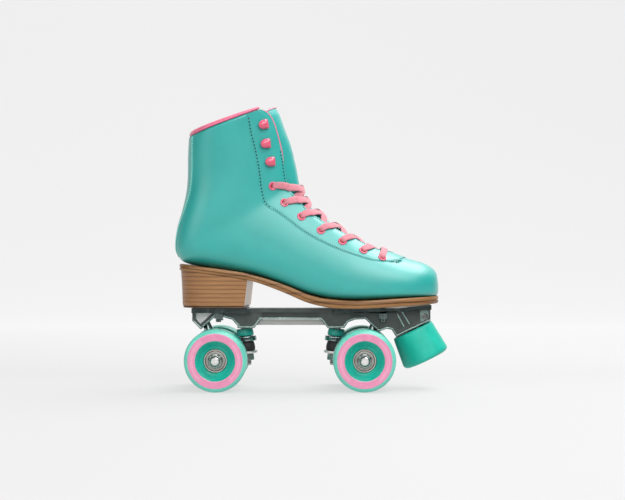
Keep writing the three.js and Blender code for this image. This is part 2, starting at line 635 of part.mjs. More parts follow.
function makePlate() {
  const front = 111;
  const underside = PLATE_TOP - FLANGE_THICKNESS;
  const flange = slabAcross([[-113, PLATE_TOP], [-113, underside], [80, underside],
    [front, 79.6 - FLANGE_THICKNESS], [front, 79.6], [80, PLATE_TOP]], -FLANGE_HALF_WIDTH, FLANGE_HALF_WIDTH);
  const waist = [-1, 1].map((side) => {
    const shape = [[-58, 15], [-45, 11.5], [5, 11.5], [18, 15], [18, 30], [-58, 30]];
    const flat = new THREE.ExtrudeGeometry(outline(shape), { depth: 10, bevelEnabled: false });
    const cutter = solid(flat.translate(0, 0, 70));
    return side > 0 ? cutter : cutter.mirror([0, 1, 0]);
  });
  const spine = slabAcross(SPINE, -SPINE_HALF_WIDTH, SPINE_HALF_WIDTH);
  const keelSides = [[-14, -7], [7, 14]].map(([from, to]) => box([-47, from, 60], [6.5, to, 72.4]));
  const keelBead = box([-53.4, -9.5, 60.4], [12.4, 9.5, 65.3]);
  const pockets = [-1, 1].flatMap((side) => {
    const [from, to] = side > 0 ? [9.5, 14] : [-14, -9.5];
    return [
      slabAcross([[-109.6, 73.4], [-109.6, 66], [-105.4, 61.6], [-94.6, 71.2], [-94.6, 73.4]], from, to),
      slabAcross([[36, 73.4], [36, 68], [46, 68.6], [40, 73.4]], from, to),
      slabAcross([[80, 73], [80, 56.5], [99.5, 65], [99.5, 74.6]], from, to),
    ];
  });
  const rearPivot = pivotSocket(REAR_AXLE_X - PIVOT.out, WHEEL_RADIUS + PIVOT.up, 1);
  const frontPivot = pivotSocket(FRONT_AXLE_X + PIVOT.out, WHEEL_RADIUS + PIVOT.up, -1);
  const downStop = (d) => [STOP_TOP.x + d * Math.sin(STOP_TILT), 0, STOP_TOP.z - d * Math.cos(STOP_TILT)];
  const stopBore = bar(downStop(0), downStop(-16), 4.3, 4.3);
  const stopSeat = bar(downStop(4), downStop(0.2), 24, 24, 8);
  const clampHole = clampScrewShank(CLAMP_SCREW.radius + GAP, CLAMP_SCREW.reach + GAP);
  const body = join(cut(flange, ...waist), cut(spine, ...keelSides, ...pockets), keelBead);
  const stopHoles = [stopBore, stopSeat, clampHole];
  const bores = [...rearPivot, ...frontPivot, ...kingpinBores(), ...stopHoles, mountBoltHoles()];
  return part('plate', cut(body, ...bores), polishedMetal);
}

// The screw that pinches the toe stop's thread enters the nose of the plate from the outer side.
function clampScrewShank(radius, reach) {
  const { x, z } = CLAMP_SCREW;
  return bar([x, -SPINE_HALF_WIDTH - GAP, z], [x, -SPINE_HALF_WIDTH + reach, z], radius, radius, 12);
}

function makeClampScrew() {
  const { x, z, radius, headRadius, head, reach } = CLAMP_SCREW;
  const face = -SPINE_HALF_WIDTH - GAP;
  const cap = bar([x, face - head, z], [x, face, z], headRadius, headRadius, 20);
  const socket = bar([x, face - head - 1, z], [x, face - 1.2, z], 1.7, 1.7, 6);
  return part('toe_stop_clamp_screw', join(cut(cap, socket), clampScrewShank(radius, reach)), zincSteel);
}

function kingpinBores() {
  return [[REAR_AXLE_X + RING.in, 1], [FRONT_AXLE_X - RING.in, -1]].map(([x, inboard]) => {
    const z = WHEEL_RADIUS + RING.up;
    const lean = Math.sin(KINGPIN_LEAN) * inboard;
    const at = (distance) => [x - lean * distance, 0, z + Math.cos(KINGPIN_LEAN) * distance];
    return bar(at(4), at(24.5), KINGPIN_RADIUS + GAP, KINGPIN_RADIUS + GAP);
  });
}

function makeMountBolts() {
  const { bottom, radius } = MOUNT_BOLTS;
  return mountBoltSites().map(([site, x, y]) => {
    const shank = solid(disc(radius, bottom, boltTop(x), 12));
    const nutTop = PLATE_TOP - FLANGE_THICKNESS - GAP;
    const nut = hexagon(8, nutTop - 5, nutTop);
    const bolt = part(`mount_bolt_${site}`, join(shank, nut), zincSteel);
    bolt.position.set(x, y, 0);
    return bolt;
  });
}

// ---------- toe stop ----------
function makeToeStop() {
  const group = new THREE.Group();
  group.position.set(STOP_TOP.x, 0, STOP_TOP.z);
  group.rotation.y = -STOP_TILT;
  const r = STOP_BOTTOM_RADIUS;
  const top = STOP_TOP_RADIUS;
  const foot = -STOP_HEIGHT;
  const block = turned([[4.4, -0.2], [top - 1.5, -0.2], [top, -1.7], [r, foot + 3], [r - 0.9, foot + 0.9],
    [r - 3, foot], [10, foot], [10, foot + 12], [4.4, foot + 12], [4.4, -0.2]], 28);
  group.add(part('toe_stop', solid(block), tealRubber));
  const washer = turned(ringProfile(4.4, 9, foot + 10.3, foot + 11.7), 20);
  group.add(part('toe_stop_washer', solid(washer), zincSteel));
  const headTop = foot + 10;
  const bolt = join(solid(disc(4, headTop - 1, 14, 16)), hexagon(13, headTop - 6, headTop));
  group.add(part('toe_stop_bolt', bolt, zincSteel));
  return group;
}

// ---------- wheels ----------
function wheelShape() {
  const w = WHEEL_HALF_WIDTH;
  const seat = w - BEARING_RECESS - BEARING_WIDTH - GAP;
  const half = [[9, seat], [BEARING_RADIUS, seat], [BEARING_RADIUS, w - BEARING_RECESS], [18.8, w],
    [25.6, w], [28.2, w - 1.6], [WHEEL_RADIUS, w - 5]];
  const mirrored = half.map(([r, h]) => [r, -h]).reverse();
  return solid(turned([...half, ...mirrored, half[0]], 24));
}

function makeWheel(name, x, side) {
  const group = new THREE.Group();
  group.position.set(x, side * WHEEL_Y, WHEEL_RADIUS);
  group.rotation.x = side > 0 ? -Math.PI / 2 : Math.PI / 2; // local +Z points away from the skate
  group.add(part(`wheel_${name}`, wheelShape(), tealUrethane));
  const near = WHEEL_HALF_WIDTH - BEARING_RECESS - BEARING_WIDTH;
  const ring = ringProfile(AXLE_RADIUS + GAP, BEARING_RADIUS - GAP, near, near + BEARING_WIDTH);
  const outer = part(`outer_bearing_${name}`, solid(turned(ring, 12)), zincSteel);
  const inner = part(`inner_bearing_${name}`, solid(turned(ring, 16)), zincSteel);
  inner.rotation.x = Math.PI;
  const nutFrom = WHEEL_HALF_WIDTH - BEARING_RECESS + GAP;
  const bore = solid(disc(AXLE_RADIUS + GAP, nutFrom - 1, nutFrom + 8, 16));
  const nut = part(`axle_nut_${name}`, cut(hexagon(AXLE_NUT_FLATS, nutFrom, nutFrom + 6), bore), zincSteel);
  group.add(outer, inner, nut);
  return group;
}

// ---------- trucks ----------
// Built as the rear truck: the origin is the middle of the axle and +X points inboard.
function hangerShape() {
  const tubeHalf = WHEEL_Y - WHEEL_HALF_WIDTH - 2;
  const spacerHalf = WHEEL_Y - WHEEL_HALF_WIDTH + BEARING_RECESS - GAP;
  const tube = join(
    bar([0, -tubeHalf, 0], [0, tubeHalf, 0], 7.4, 7.4),
    bar([0, -spacerHalf, 0], [0, spacerHalf, 0], 5.6, 5.6),
  );
  const pivot = [-PIVOT.out, 0, PIVOT.up];
  const ball = solid(new THREE.SphereGeometry(BALL_RADIUS, 12, 8).translate(...pivot));
  const arm = bar([-1, 0, 3], pivot, 8, 3);
  const ringArm = slabAcross([[0, 7], [2, -2], [12, 3.5], [19, 13.2], [17, 21.5], [6, 16]], -6, 6);
  const gusset = slabAcross([[-4, 3], [4, 5], [2.4, 16], [-5.6, 16]], -12, 12);
  const ringCut = stacked(disc(KINGPIN_RADIUS + 0.8, -8, 8));
  const ring = stacked(disc(RING_RADIUS, -RING_HALF_HEIGHT, RING_HALF_HEIGHT));
  const cushionRoom = join(
    stacked(disc(RING_RADIUS + 0.6, RING_HALF_HEIGHT, 14)),
    stacked(disc(RING_RADIUS + 0.6, -26, -RING_HALF_HEIGHT)),
  );
  const axleBore = bar([0, -40, 0], [0, 40, 0], AXLE_RADIUS + GAP, AXLE_RADIUS + GAP);
  return cut(join(tube, ball, arm, cut(join(ringArm, gusset), cushionRoom), ring), ringCut, axleBore);
}

// A turned piece on the leaning kingpin, its heights measured from the middle of the ring.
function stacked(geometry) {
  return solid(geometry.rotateY(-KINGPIN_LEAN).translate(RING.in, 0, RING.up));
}

function kingpinParts(name) {
  const bore = KINGPIN_RADIUS + GAP;
  const upper = [RING_HALF_HEIGHT + GAP, 9.5];
  const lower = [-11.8, -RING_HALF_HEIGHT - GAP];
  const cup = [-14.3, -12.1];
  const nut = [-21.3, -14.6];
  const nutShape = cut(hexagon(13, ...nut), solid(disc(bore, -30, 0, 16)));
  const nutGeometry = geometryOf(nutShape).toNonIndexed();
  return [
    part(`kingpin_${name}`, stacked(disc(KINGPIN_RADIUS, -25, 21.5, 16)), zincSteel),
    part(`upper_cushion_${name}`, stacked(turned(ringProfile(bore + 0.2, 8.2, ...upper))), tealRubber),
    part(`lower_cushion_${name}`, stacked(turned(ringProfile(bore + 0.2, 8.5, ...lower))), blackRubber),
    part(`cup_washer_${name}`, stacked(turned(ringProfile(bore, RING_RADIUS, ...cup))), zincSteel),
    part(`kingpin_nut_${name}`, stacked(nutGeometry), zincSteel),
  ];
}

function pivotCup(name) {
  const profile = [[5.6, 2], [6.9, 2], [6.9, -8], [0, -8], [0, -5.5], [2.9, -4.7], [4.8, -2.7],
    [5.6, 0], [5.6, 2]];
  const mouth = new THREE.Vector3(...PIVOT_AXIS);
  const turn = new THREE.Quaternion().setFromUnitVectors(new THREE.Vector3(0, 0, 1), mouth);
  const geometry = turned(profile, 18).applyQuaternion(turn).translate(-PIVOT.out, 0, PIVOT.up);
  return part(`pivot_cup_${name}`, solid(geometry), blackRubber);
}

function makeTruck(name, x, turn) {
  const group = new THREE.Group();
  group.position.set(x, 0, WHEEL_RADIUS);
  group.rotation.z = turn;
  const axle = bar([0, -AXLE_HALF_LENGTH, 0], [0, AXLE_HALF_LENGTH, 0], AXLE_RADIUS, AXLE_RADIUS);
  group.add(part(`hanger_${name}`, hangerShape(), polishedMetal));
  group.add(part(`axle_${name}`, axle, zincSteel));
  group.add(pivotCup(name), ...kingpinParts(name));
  return group;
}

// ---------- assembly ----------
const skate = new THREE.Group();
skate.add(makeUpper(), makeEyestay(), makeBackstay(), makeLining(), makeTongue(), makeCollar(), makeInsole());
skate.add(eyeletRow('eyelets_outer', -1), eyeletRow('eyelets_inner', 1), makeLace());
HOOK_STEPS.forEach((station, i) => {
  skate.add(laceHook(`hook_outer_${i + 1}`, station, -1), laceHook(`hook_inner_${i + 1}`, station, 1));
});
skate.add(makeOutsole(), makeHeelBlock(), makeHeelLift(), makePlate(), makeClampScrew());
skate.add(...makeMountBolts(), makeToeStop());
skate.add(makeTruck('rear', REAR_AXLE_X, 0), makeTruck('front', FRONT_AXLE_X, Math.PI));
[['rear', REAR_AXLE_X], ['front', FRONT_AXLE_X]].forEach(([end, x]) => {
  skate.add(makeWheel(`${end}_outer`, x, -1), makeWheel(`${end}_inner`, x, 1));
});

export default skate;
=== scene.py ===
import json
import math
from contextlib import contextmanager

import bpy
import bmesh
from mathutils import Matrix, Vector


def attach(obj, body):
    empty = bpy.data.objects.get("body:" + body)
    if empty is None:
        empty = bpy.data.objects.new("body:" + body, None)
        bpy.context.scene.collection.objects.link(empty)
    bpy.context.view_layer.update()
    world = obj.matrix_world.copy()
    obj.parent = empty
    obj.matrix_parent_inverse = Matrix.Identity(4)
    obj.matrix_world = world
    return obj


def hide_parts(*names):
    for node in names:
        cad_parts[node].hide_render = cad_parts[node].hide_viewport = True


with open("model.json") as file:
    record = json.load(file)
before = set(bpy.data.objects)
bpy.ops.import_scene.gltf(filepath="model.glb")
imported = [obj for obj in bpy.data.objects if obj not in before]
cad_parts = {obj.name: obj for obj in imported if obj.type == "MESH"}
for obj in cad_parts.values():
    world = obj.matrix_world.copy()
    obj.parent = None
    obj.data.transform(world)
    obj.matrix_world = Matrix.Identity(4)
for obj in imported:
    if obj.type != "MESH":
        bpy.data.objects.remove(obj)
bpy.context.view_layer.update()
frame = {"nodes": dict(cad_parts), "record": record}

# A quad roller skate for the right foot. Shapes are worked out in millimetres and made in metres.
MM = 0.001
SCENE = bpy.context.scene

# ---------- driving dimensions, the same as the frame's ----------
WHEEL_RADIUS = 29.0
WHEEL_HALF_WIDTH = 16.0
WHEEL_Y = 38.0
BEARING_RADIUS = 11.0
BEARING_RECESS = 5.5
BEARING_WIDTH = 7.0
REAR_AXLE_X = -89.3
FRONT_AXLE_X = 47.9
RING = (25.9, 18.1)  # kingpin ring from the axle, inboard and up
KINGPIN_LEAN = math.radians(5)
STOP_TILT = math.radians(25.8)
STOP_TOP = (94.4, 55.9)
STOP_HEIGHT = 31.5
STOP_TOP_RADIUS = 20.0
STOP_LOW_RADIUS = 22.7
FLANGE_SIDE = 23.9
EYELET_STEPS = [5.65, 6.6, 7.72, 9, 10.4, 12.15, 14.3]
HOOK_STEPS = [16.9, 18.6, 19.95]
COLLAR_STATION = 21.0
TONGUE_TOP = 20.92

# Boot sections, toe tip to collar: sole or back x, z; front x, z; middle y; half width;
# where it is widest; squareness of the front half and of the sole half.
BOOT = [
    (118.6, 89.4, 118.6, 102.5, 5.0, 9.0, 0.40, 2.2, 2.6),
    (117.0, 88.0, 116.9, 110.0, 5.0, 18.0, 0.36, 2.3, 3.2),
    (112.5, 87.3, 112.0, 115.0, 4.6, 26.0, 0.33, 2.3, 4.0),
    (104.0, 86.8, 103.5, 119.2, 4.0, 32.5, 0.30, 2.3, 4.4),
    (92.0, 86.2, 91.5, 122.6, 3.0, 37.6, 0.28, 2.2, 4.6),
    (76.0, 85.3, 76.0, 128.2, 1.5, 40.6, 0.28, 2.1, 4.6),
    (58.0, 84.3, 58.5, 136.0, 0.3, 41.6, 0.28, 2.1, 4.6),
    (38.0, 83.9, 40.0, 147.5, -0.4, 41.0, 0.28, 2.1, 4.6),
    (18.0, 84.9, 25.0, 158.0, -0.8, 38.2, 0.32, 2.0, 4.4),
    (-4.0, 89.6, 11.5, 168.0, -0.8, 35.0, 0.35, 2.0, 4.2),
    (-28.0, 98.8, 0.8, 177.0, -0.6, 32.2, 0.37, 2.0, 4.0),
    (-54.0, 107.3, -4.6, 185.4, -0.4, 31.0, 0.39, 2.0, 3.8),
    (-84.0, 112.2, -6.9, 192.6, -0.2, 30.4, 0.42, 2.0, 3.4),
    (-118.0, 118.2, -8.2, 199.8, 0, 30.0, 0.44, 2.0, 2.9),
    (-127.2, 126.6, -9.3, 206.8, 0, 30.2, 0.46, 2.0, 2.5),
    (-129.2, 138.0, -10.6, 213.8, 0, 30.8, 0.47, 2.0, 2.3),
    (-127.2, 153.0, -12.2, 220.8, 0, 31.4, 0.48, 2.0, 2.2),
    (-122.6, 169.0, -14.2, 228.5, 0, 32.0, 0.48, 2.0, 2.2),
    (-118.9, 185.0, -17.0, 237.0, 0, 32.8, 0.48, 2.0, 2.2),
    (-117.4, 201.0, -20.5, 246.0, 0, 33.8, 0.48, 2.1, 2.2),
    (-117.2, 219.0, -24.3, 257.4, 0, 35.2, 0.48, 2.1, 2.2),
    (-116.2, 236.8, -28.3, 268.9, 0, 37.0, 0.48, 2.1, 2.2),
    (-114.4, 251.0, -32.6, 277.6, 0, 38.4, 0.48, 2.1, 2.2),
]
LAST_STATION = len(BOOT) - 1

# Half angles from the front line, by station: edge of the throat, seam of the eyestay, eyelets.
THROAT = [(5.2, 4), (5.5, 18), (6, 25), (7, 30), (9, 36), (11, 38), (13, 40), (18, 42), (20, 43.5),
          (21, 50), (22, 56)]
FACING = [(3.95, 8), (4.1, 26), (4.4, 41), (5, 54), (6, 57), (7, 59), (9, 64.5), (11, 67.5), (13, 63),
          (15, 65), (17, 71), (19, 75), (22, 75)]
EYELET_LINE = [(5.3, 42), (5.65, 44), (7, 47), (9, 51), (11, 52), (14, 55), (16.9, 57.4), (18.6, 60.2),
               (19.95, 58.5), (22, 58.5)]
BACKSTAY = [(13.8, 8), (15, 14), (16, 20), (17, 26), (18, 30), (20, 32), (22, 31)]


# ---------- curves and surfaces ----------
def catmull(a, b, c, d, t):
    square = 2 * a - 5 * b + 4 * c - d
    cube = 3 * b - a - 3 * c + d
    return 0.5 * (2 * b + (c - a) * t + square * t * t + cube * t ** 3)

def lerp(a, b, t):
    return a + (b - a) * t

def between(first, second, t):
    """A tuple part of the way between two, such as a (station, angle) on the boot."""
    return tuple(lerp(u, v, t) for u, v in zip(first, second))


def circle(sides):
    """Cosine and sine of evenly spaced turns."""
    turns = [2 * math.pi * k / sides for k in range(sides)]
    return [(math.cos(t), math.sin(t)) for t in turns]


def oval(centre, first, second, first_radius, second_radius, sides):
    return [centre + first * (first_radius * c) + second * (second_radius * s) for c, s in circle(sides)]


def value_at(table, key):
    if key <= table[0][0]:
        return table[0][1]
    if key >= table[-1][0]:
        return table[-1][1]
    i = max(k for k in range(len(table) - 1) if table[k][0] <= key)
    (k0, v0), (k1, v1) = table[i], table[i + 1]
    return lerp(v0, v1, (key - k0) / (k1 - k0))

def section_at(station):
    i = min(int(station), LAST_STATION - 1)
    rows = [BOOT[min(max(k, 0), LAST_STATION)] for k in (i - 1, i, i + 1, i + 2)]
    return [catmull(*(row[column] for row in rows), station - i) for column in range(9)]

def signed_power(value, power):
    return math.copysign(abs(value) ** power, value)

def on_boot(station, degrees, depth=0.0):
    bx, bz, fx, fz, middle, half_width, widest, front_square, sole_square = section_at(station)
    angle = math.radians(degrees)
    length = math.hypot(fx - bx, fz - bz)
    front = math.cos(angle) >= 0
    power = 2 / (front_square if front else sole_square)
    reach = ((1 - widest) if front else widest) * length - depth
    along = widest * length + reach * signed_power(math.cos(angle), power)
    across = (half_width - depth) * signed_power(math.sin(angle), power)
    return Vector((bx + (fx - bx) * along / length, middle + across, bz + (fz - bz) * along / length))

def outward_at(station, degrees):
    station = min(station, LAST_STATION - 0.06)
    up = on_boot(station + 0.05, degrees) - on_boot(station - 0.05, degrees)
    around = on_boot(station, degrees + 0.8) - on_boot(station, degrees - 0.8)
    return around.cross(up).normalized()

def smooth_path(points, per_span):
    """Catmull-Rom through tuples of any size, ends included."""
    result = []
    for i in range(len(points) - 1):
        window = [points[min(max(k, 0), len(points) - 1)] for k in (i - 1, i, i + 1, i + 2)]
        for j in range(per_span):
            t = j / per_span
            result.append(tuple(catmull(*(p[c] for p in window), t) for c in range(len(points[0]))))
    result.append(tuple(points[-1]))
    return result

def even_steps(path, count=None, pitch=None):
    """Steps of equal length on the boot's surface along a path of (station, angle)."""
    places = [on_boot(s, a) for s, a in path]
    lengths = [0.0]
    for p, q in zip(places, places[1:]):
        lengths.append(lengths[-1] + (q - p).length)
    if count is None:
        count = max(2, int(round(lengths[-1] / pitch)) + 1)
    result = []
    k = 0
    for i in range(count):
        target = lengths[-1] * i / (count - 1)
        while k < len(lengths) - 2 and lengths[k + 1] < target:
            k += 1
        t = (target - lengths[k]) / max(lengths[k + 1] - lengths[k], 1e-9)
        result.append(between(path[k], path[k + 1], t))
    return result

def eased(path, reach):
    """The path with its corners rounded by averaging each step with its neighbours."""
    result = []
    for i in range(len(path)):
        span = min(reach, i, len(path) - 1 - i)
        window = path[i - span:i + span + 1]
        result.append(tuple(sum(p[c] for p in window) / len(window) for c in range(2)))
    return result

def mirrored(side):
    """A path of one side, continued round the toe end onto the other side."""
    return side + [(s, -a) for s, a in reversed(side)]

# ---------- meshes ----------
@contextmanager
def editing(mesh):
    """A bmesh of the mesh, written back to it at the end."""
    work = bmesh.new()
    work.from_mesh(mesh)
    yield work
    work.to_mesh(mesh)
    work.free()


def stand_for(node):
    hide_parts(node)


def thickened(piece, name, thickness):
    """Gives a skin its thickness, inwards."""
    shell = piece.modifiers.new(name, "SOLIDIFY")
    shell.thickness = thickness * MM
    shell.offset = -1


def joined(parts):
    """Several (points, faces) as one."""
    points, faces = [], []
    for part_points, part_faces in parts:
        faces += [tuple(len(points) + k for k in face) for face in part_faces]
        points += part_points
    return points, faces


def make(name, points, faces, material, body="root", smooth=True):
    mesh = bpy.data.meshes.new(name)
    mesh.from_pydata([Vector(p) * MM for p in points], [], faces)
    mesh.validate()
    piece = bpy.data.objects.new(name, mesh)
    SCENE.collection.objects.link(piece)
    for m in material if isinstance(material, (list, tuple)) else [material]:
        mesh.materials.append(m)
    mesh.polygons.foreach_set("use_smooth", [smooth] * len(mesh.polygons))
    mesh.update()
    if body:
        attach(piece, body)
    return piece

def face_out(piece):
    """Turns a closed mesh's faces outwards."""
    with editing(piece.data) as work:
        bmesh.ops.recalc_face_normals(work, faces=work.faces)
    return piece

def grid_faces(rows, columns, wrap_columns=False, wrap_rows=False, start=0):
    faces = []
    for i in range(rows if wrap_rows else rows - 1):
        for j in range(columns if wrap_columns else columns - 1):
            a = start + i * columns + j
            b = start + i * columns + (j + 1) % columns
            c = start + ((i + 1) % rows) * columns + (j + 1) % columns
            d = start + ((i + 1) % rows) * columns + j
            faces.append((a, b, c, d))
    return faces

def closed_loft(rings):
    """Points and faces of a closed solid through rings of equal size, with rounded-off fan ends."""
    count = len(rings[0])
    points = [p for ring in rings for p in ring]
    faces = grid_faces(len(rings), count, wrap_columns=True)
    for ring_index in (0, len(rings) - 1):
        centre = sum((Vector(p) for p in rings[ring_index]), Vector()) / count
        points.append(centre)
        hub = len(points) - 1
        base = ring_index * count
        faces += [(base + j, base + (j + 1) % count, hub) for j in range(count)]
    return points, faces

def lathe(name, profile, place, material, body, segments=96, zones=None, closed=True):
    """A profile of (radius, height) turned about the local Z of place, a Matrix in millimetres."""
    points = [place @ Vector((r * c, r * s, h)) for r, h in profile for c, s in circle(segments)]
    faces = grid_faces(len(profile), segments, wrap_columns=True, wrap_rows=closed)
    piece = make(name, points, faces, material, body)
    if zones:
        for polygon in piece.data.polygons:
            polygon.material_index = zones[min(polygon.index // segments, len(zones) - 1)]
    with editing(piece.data) as work:
        bmesh.ops.remove_doubles(work, verts=work.verts, dist=1e-7)
        bmesh.ops.recalc_face_normals(work, faces=work.faces)
    sharp_by_angle(piece, 40)
    return piece

def sharp_by_angle(piece, degrees):
    """Marks the edges that turn by more than this as sharp."""
    limit = math.radians(degrees)
    with editing(piece.data) as work:
        for edge in work.edges:
            if len(edge.link_faces) == 2 and edge.calc_face_angle(0.0) > limit:
                edge.smooth = False

def rounded(piece, width, segments=2, degrees=35):
    bevel = piece.modifiers.new("edge_round", "BEVEL")
    bevel.width = width * MM
    bevel.segments = segments
    bevel.limit_method = "ANGLE"
    bevel.angle_limit = math.radians(degrees)
    bevel.harden_normals = True
    return piece

def body_of_node(node):
    return next(name for name, nodes in frame["record"]["behaviour"]["bodies"].items() if node in nodes)

def copy_of(node, name):
    piece = bpy.data.objects.new(name, frame["nodes"][node].data.copy())
    SCENE.collection.objects.link(piece)
    return piece


def coat(mesh, material):
    """One material all over, shaded smooth."""
    mesh.materials.clear()
    mesh.materials.append(material)
    mesh.polygons.foreach_set("use_smooth", [True] * len(mesh.polygons))


def refined(node, name, material, bevel=0.5, flat_angle=8, segments=2):
    """A finer copy of a hard CAD node: flats merged, edges rounded."""
    piece = copy_of(node, name)
    with editing(piece.data) as work:
        bmesh.ops.remove_doubles(work, verts=work.verts, dist=2e-6)
        bmesh.ops.dissolve_limit(work, angle_limit=math.radians(flat_angle), verts=work.verts,
                                 edges=work.edges)
    coat(piece.data, material)
    sharp_by_angle(piece, 35)
    rounded(piece, bevel, segments)
    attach(piece, body_of_node(node))
    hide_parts(node)
    return piece

def remeshed(node, name, material, voxel, smoothing):
    """A cast part: the CAD node remeshed and smoothed so that its webs run into each other."""
    piece = copy_of(node, name)
    remesh = piece.modifiers.new("cast_skin", "REMESH")
    remesh.mode = "VOXEL"
    remesh.voxel_size = voxel * MM
    remesh.use_smooth_shade = True
    smooth = piece.modifiers.new("cast_round", "SMOOTH")
    smooth.factor = 0.5
    smooth.iterations = smoothing
    depsgraph = bpy.context.evaluated_depsgraph_get()
    baked = bpy.data.meshes.new_from_object(piece.evaluated_get(depsgraph))
    piece.modifiers.clear()
    piece.data = baked
    coat(baked, material)
    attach(piece, body_of_node(node))
    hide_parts(node)
    return piece

# ---------- materials ----------
BAND_SCALE = 0.16  # a wave texture's scale times the width of one band, in metres


class Look:
    """A Principled material built from nodes, with short helpers."""

    def __init__(self, name, color, roughness=0.5, metallic=0.0, **inputs):
        self.material = bpy.data.materials.new(name)
        self.material.use_nodes = True
        self.nodes = self.material.node_tree.nodes
        self.links = self.material.node_tree.links
        self.shader = self.nodes["Principled BSDF"]
        self.shader.inputs["Base Color"].default_value = (*color, 1)
        self.shader.inputs["Roughness"].default_value = roughness
        self.shader.inputs["Metallic"].default_value = metallic
        for key, value in inputs.items():
            self.shader.inputs[key.replace("_", " ")].default_value = value
        self.where = self.nodes.new("ShaderNodeTexCoord").outputs["Object"]
        self.height = None

    def node(self, kind, **inputs):
        node = self.nodes.new("ShaderNode" + kind)
        for key, value in inputs.items():
            node.inputs[key.replace("_", " ")].default_value = value
        return node

    def placed(self, kind, vector=None, **inputs):
        """A node that reads a place, the object's own unless another is given."""
        node = self.node(kind, **inputs)
        self.links.new(vector or self.where, node.inputs["Vector"])
        return node

    def mapped(self, scale):
        return self.placed("Mapping", Scale=scale).outputs["Vector"]

    def noise(self, scale, detail=3, roughness=0.55, vector=None, distortion=0.0):
        return self.placed("TexNoise", vector, Scale=scale, Detail=detail, Roughness=roughness,
                           Distortion=distortion).outputs["Fac"]

    def cells(self, scale):
        return self.placed("TexVoronoi", Scale=scale).outputs["Distance"]

    def waves(self, scale, vector=None, distortion=0.0, detail=2, direction="Z"):
        node = self.placed("TexWave", vector, Scale=scale, Distortion=distortion, Detail=detail)
        node.bands_direction = direction
        return node.outputs["Fac"]

    def ramp(self, value, stops):
        node = self.node("ValToRGB")
        ramp = node.color_ramp
        while len(ramp.elements) < len(stops):
            ramp.elements.new(0.5)
        for element, (place, color) in zip(ramp.elements, stops):
            element.position = place
            element.color = (*color, 1)
        self.links.new(value, node.inputs["Fac"])
        return node.outputs["Color"]

    def grey(self, value, low, high, from_low=0.3, from_high=0.7):
        node = self.node("MapRange", From_Min=from_low, From_Max=from_high, To_Min=low, To_Max=high)
        self.links.new(value, node.inputs["Value"])
        return node.outputs["Result"]

    def mix(self, factor, first, second, blend="MIX"):
        node = self.node("Mix")
        node.data_type = "RGBA"
        node.blend_type = blend
        node.inputs[0].default_value = factor
        self.links.new(first, node.inputs[6])
        self.links.new(second, node.inputs[7])
        return node.outputs[2]

    def color(self, socket):
        self.links.new(socket, self.shader.inputs["Base Color"])

    def rough(self, value, low, high):
        self.links.new(self.grey(value, low, high), self.shader.inputs["Roughness"])

    def bump(self, value, strength, distance=0.0002):
        node = self.node("Bump", Strength=strength, Distance=distance)
        self.links.new(value, node.inputs["Height"])
        if self.height:
            self.links.new(self.height, node.inputs["Normal"])
        self.height = node.outputs["Normal"]
        self.links.new(self.height, self.shader.inputs["Normal"])

def tint(color, factor):
    return tuple(min(1.0, c * factor) for c in color)

def varied(look, color, scale, spread=0.08):
    """Faint cloudy variation of one colour."""
    clouds = look.noise(scale, 3)
    look.color(look.ramp(clouds, [(0.3, tint(color, 1 - spread)), (0.7, tint(color, 1 + spread))]))
    return clouds

def vinyl_look(name, color):
    look = Look(name, color, 0.42, Coat_Weight=1.0, Coat_Roughness=0.42, Coat_IOR=1.6,
                Specular_IOR_Level=0.35)
    clouds = varied(look, color, 45, 0.05)
    look.rough(clouds, 0.38, 0.46)
    look.bump(look.cells(2600), 0.05, 0.00008)
    look.bump(look.noise(900, 4), 0.06, 0.0001)
    look.bump(look.noise(38, 3), 0.1, 0.0012)
    return look.material

def fabric_look(name, color, thread_width=0.0006, sheen=0.35):
    look = Look(name, color, 0.82, Sheen_Weight=sheen, Sheen_Roughness=0.4)
    across = look.waves(BAND_SCALE / thread_width, direction="X")
    along = look.waves(BAND_SCALE / thread_width, direction="Z")
    weave = look.mix(0.5, across, along)
    clouds = look.noise(300, 3)
    base = look.ramp(clouds, [(0.3, tint(color, 0.88)), (0.7, tint(color, 1.08))])
    look.color(look.mix(0.25, base, weave, "SOFT_LIGHT"))
    look.bump(weave, 0.35, 0.0002)
    return look.material

def lace_look(name, color):
    look = Look(name, color, 0.75, Sheen_Weight=0.4, Sheen_Roughness=0.4)
    first = look.waves(900, direction="DIAGONAL")
    second = look.waves(900, vector=look.mapped((1, -1, -1)), direction="DIAGONAL")
    weave = look.mix(0.5, first, second)
    clouds = look.noise(260, 3)
    base = look.ramp(clouds, [(0.3, tint(color, 0.88)), (0.72, tint(color, 1.12))])
    look.color(look.mix(0.16, base, weave, "SOFT_LIGHT"))
    look.bump(weave, 0.3, 0.00015)
    look.bump(look.noise(500, 3), 0.25, 0.0003)
    return look.material

def enamel_look(name, color):
    look = Look(name, color, 0.24, Coat_Weight=0.5, Coat_Roughness=0.12)
    clouds = varied(look, color, 120, 0.03)
    look.rough(clouds, 0.2, 0.3)
    look.bump(look.noise(500, 2), 0.03, 0.0001)
    return look.material

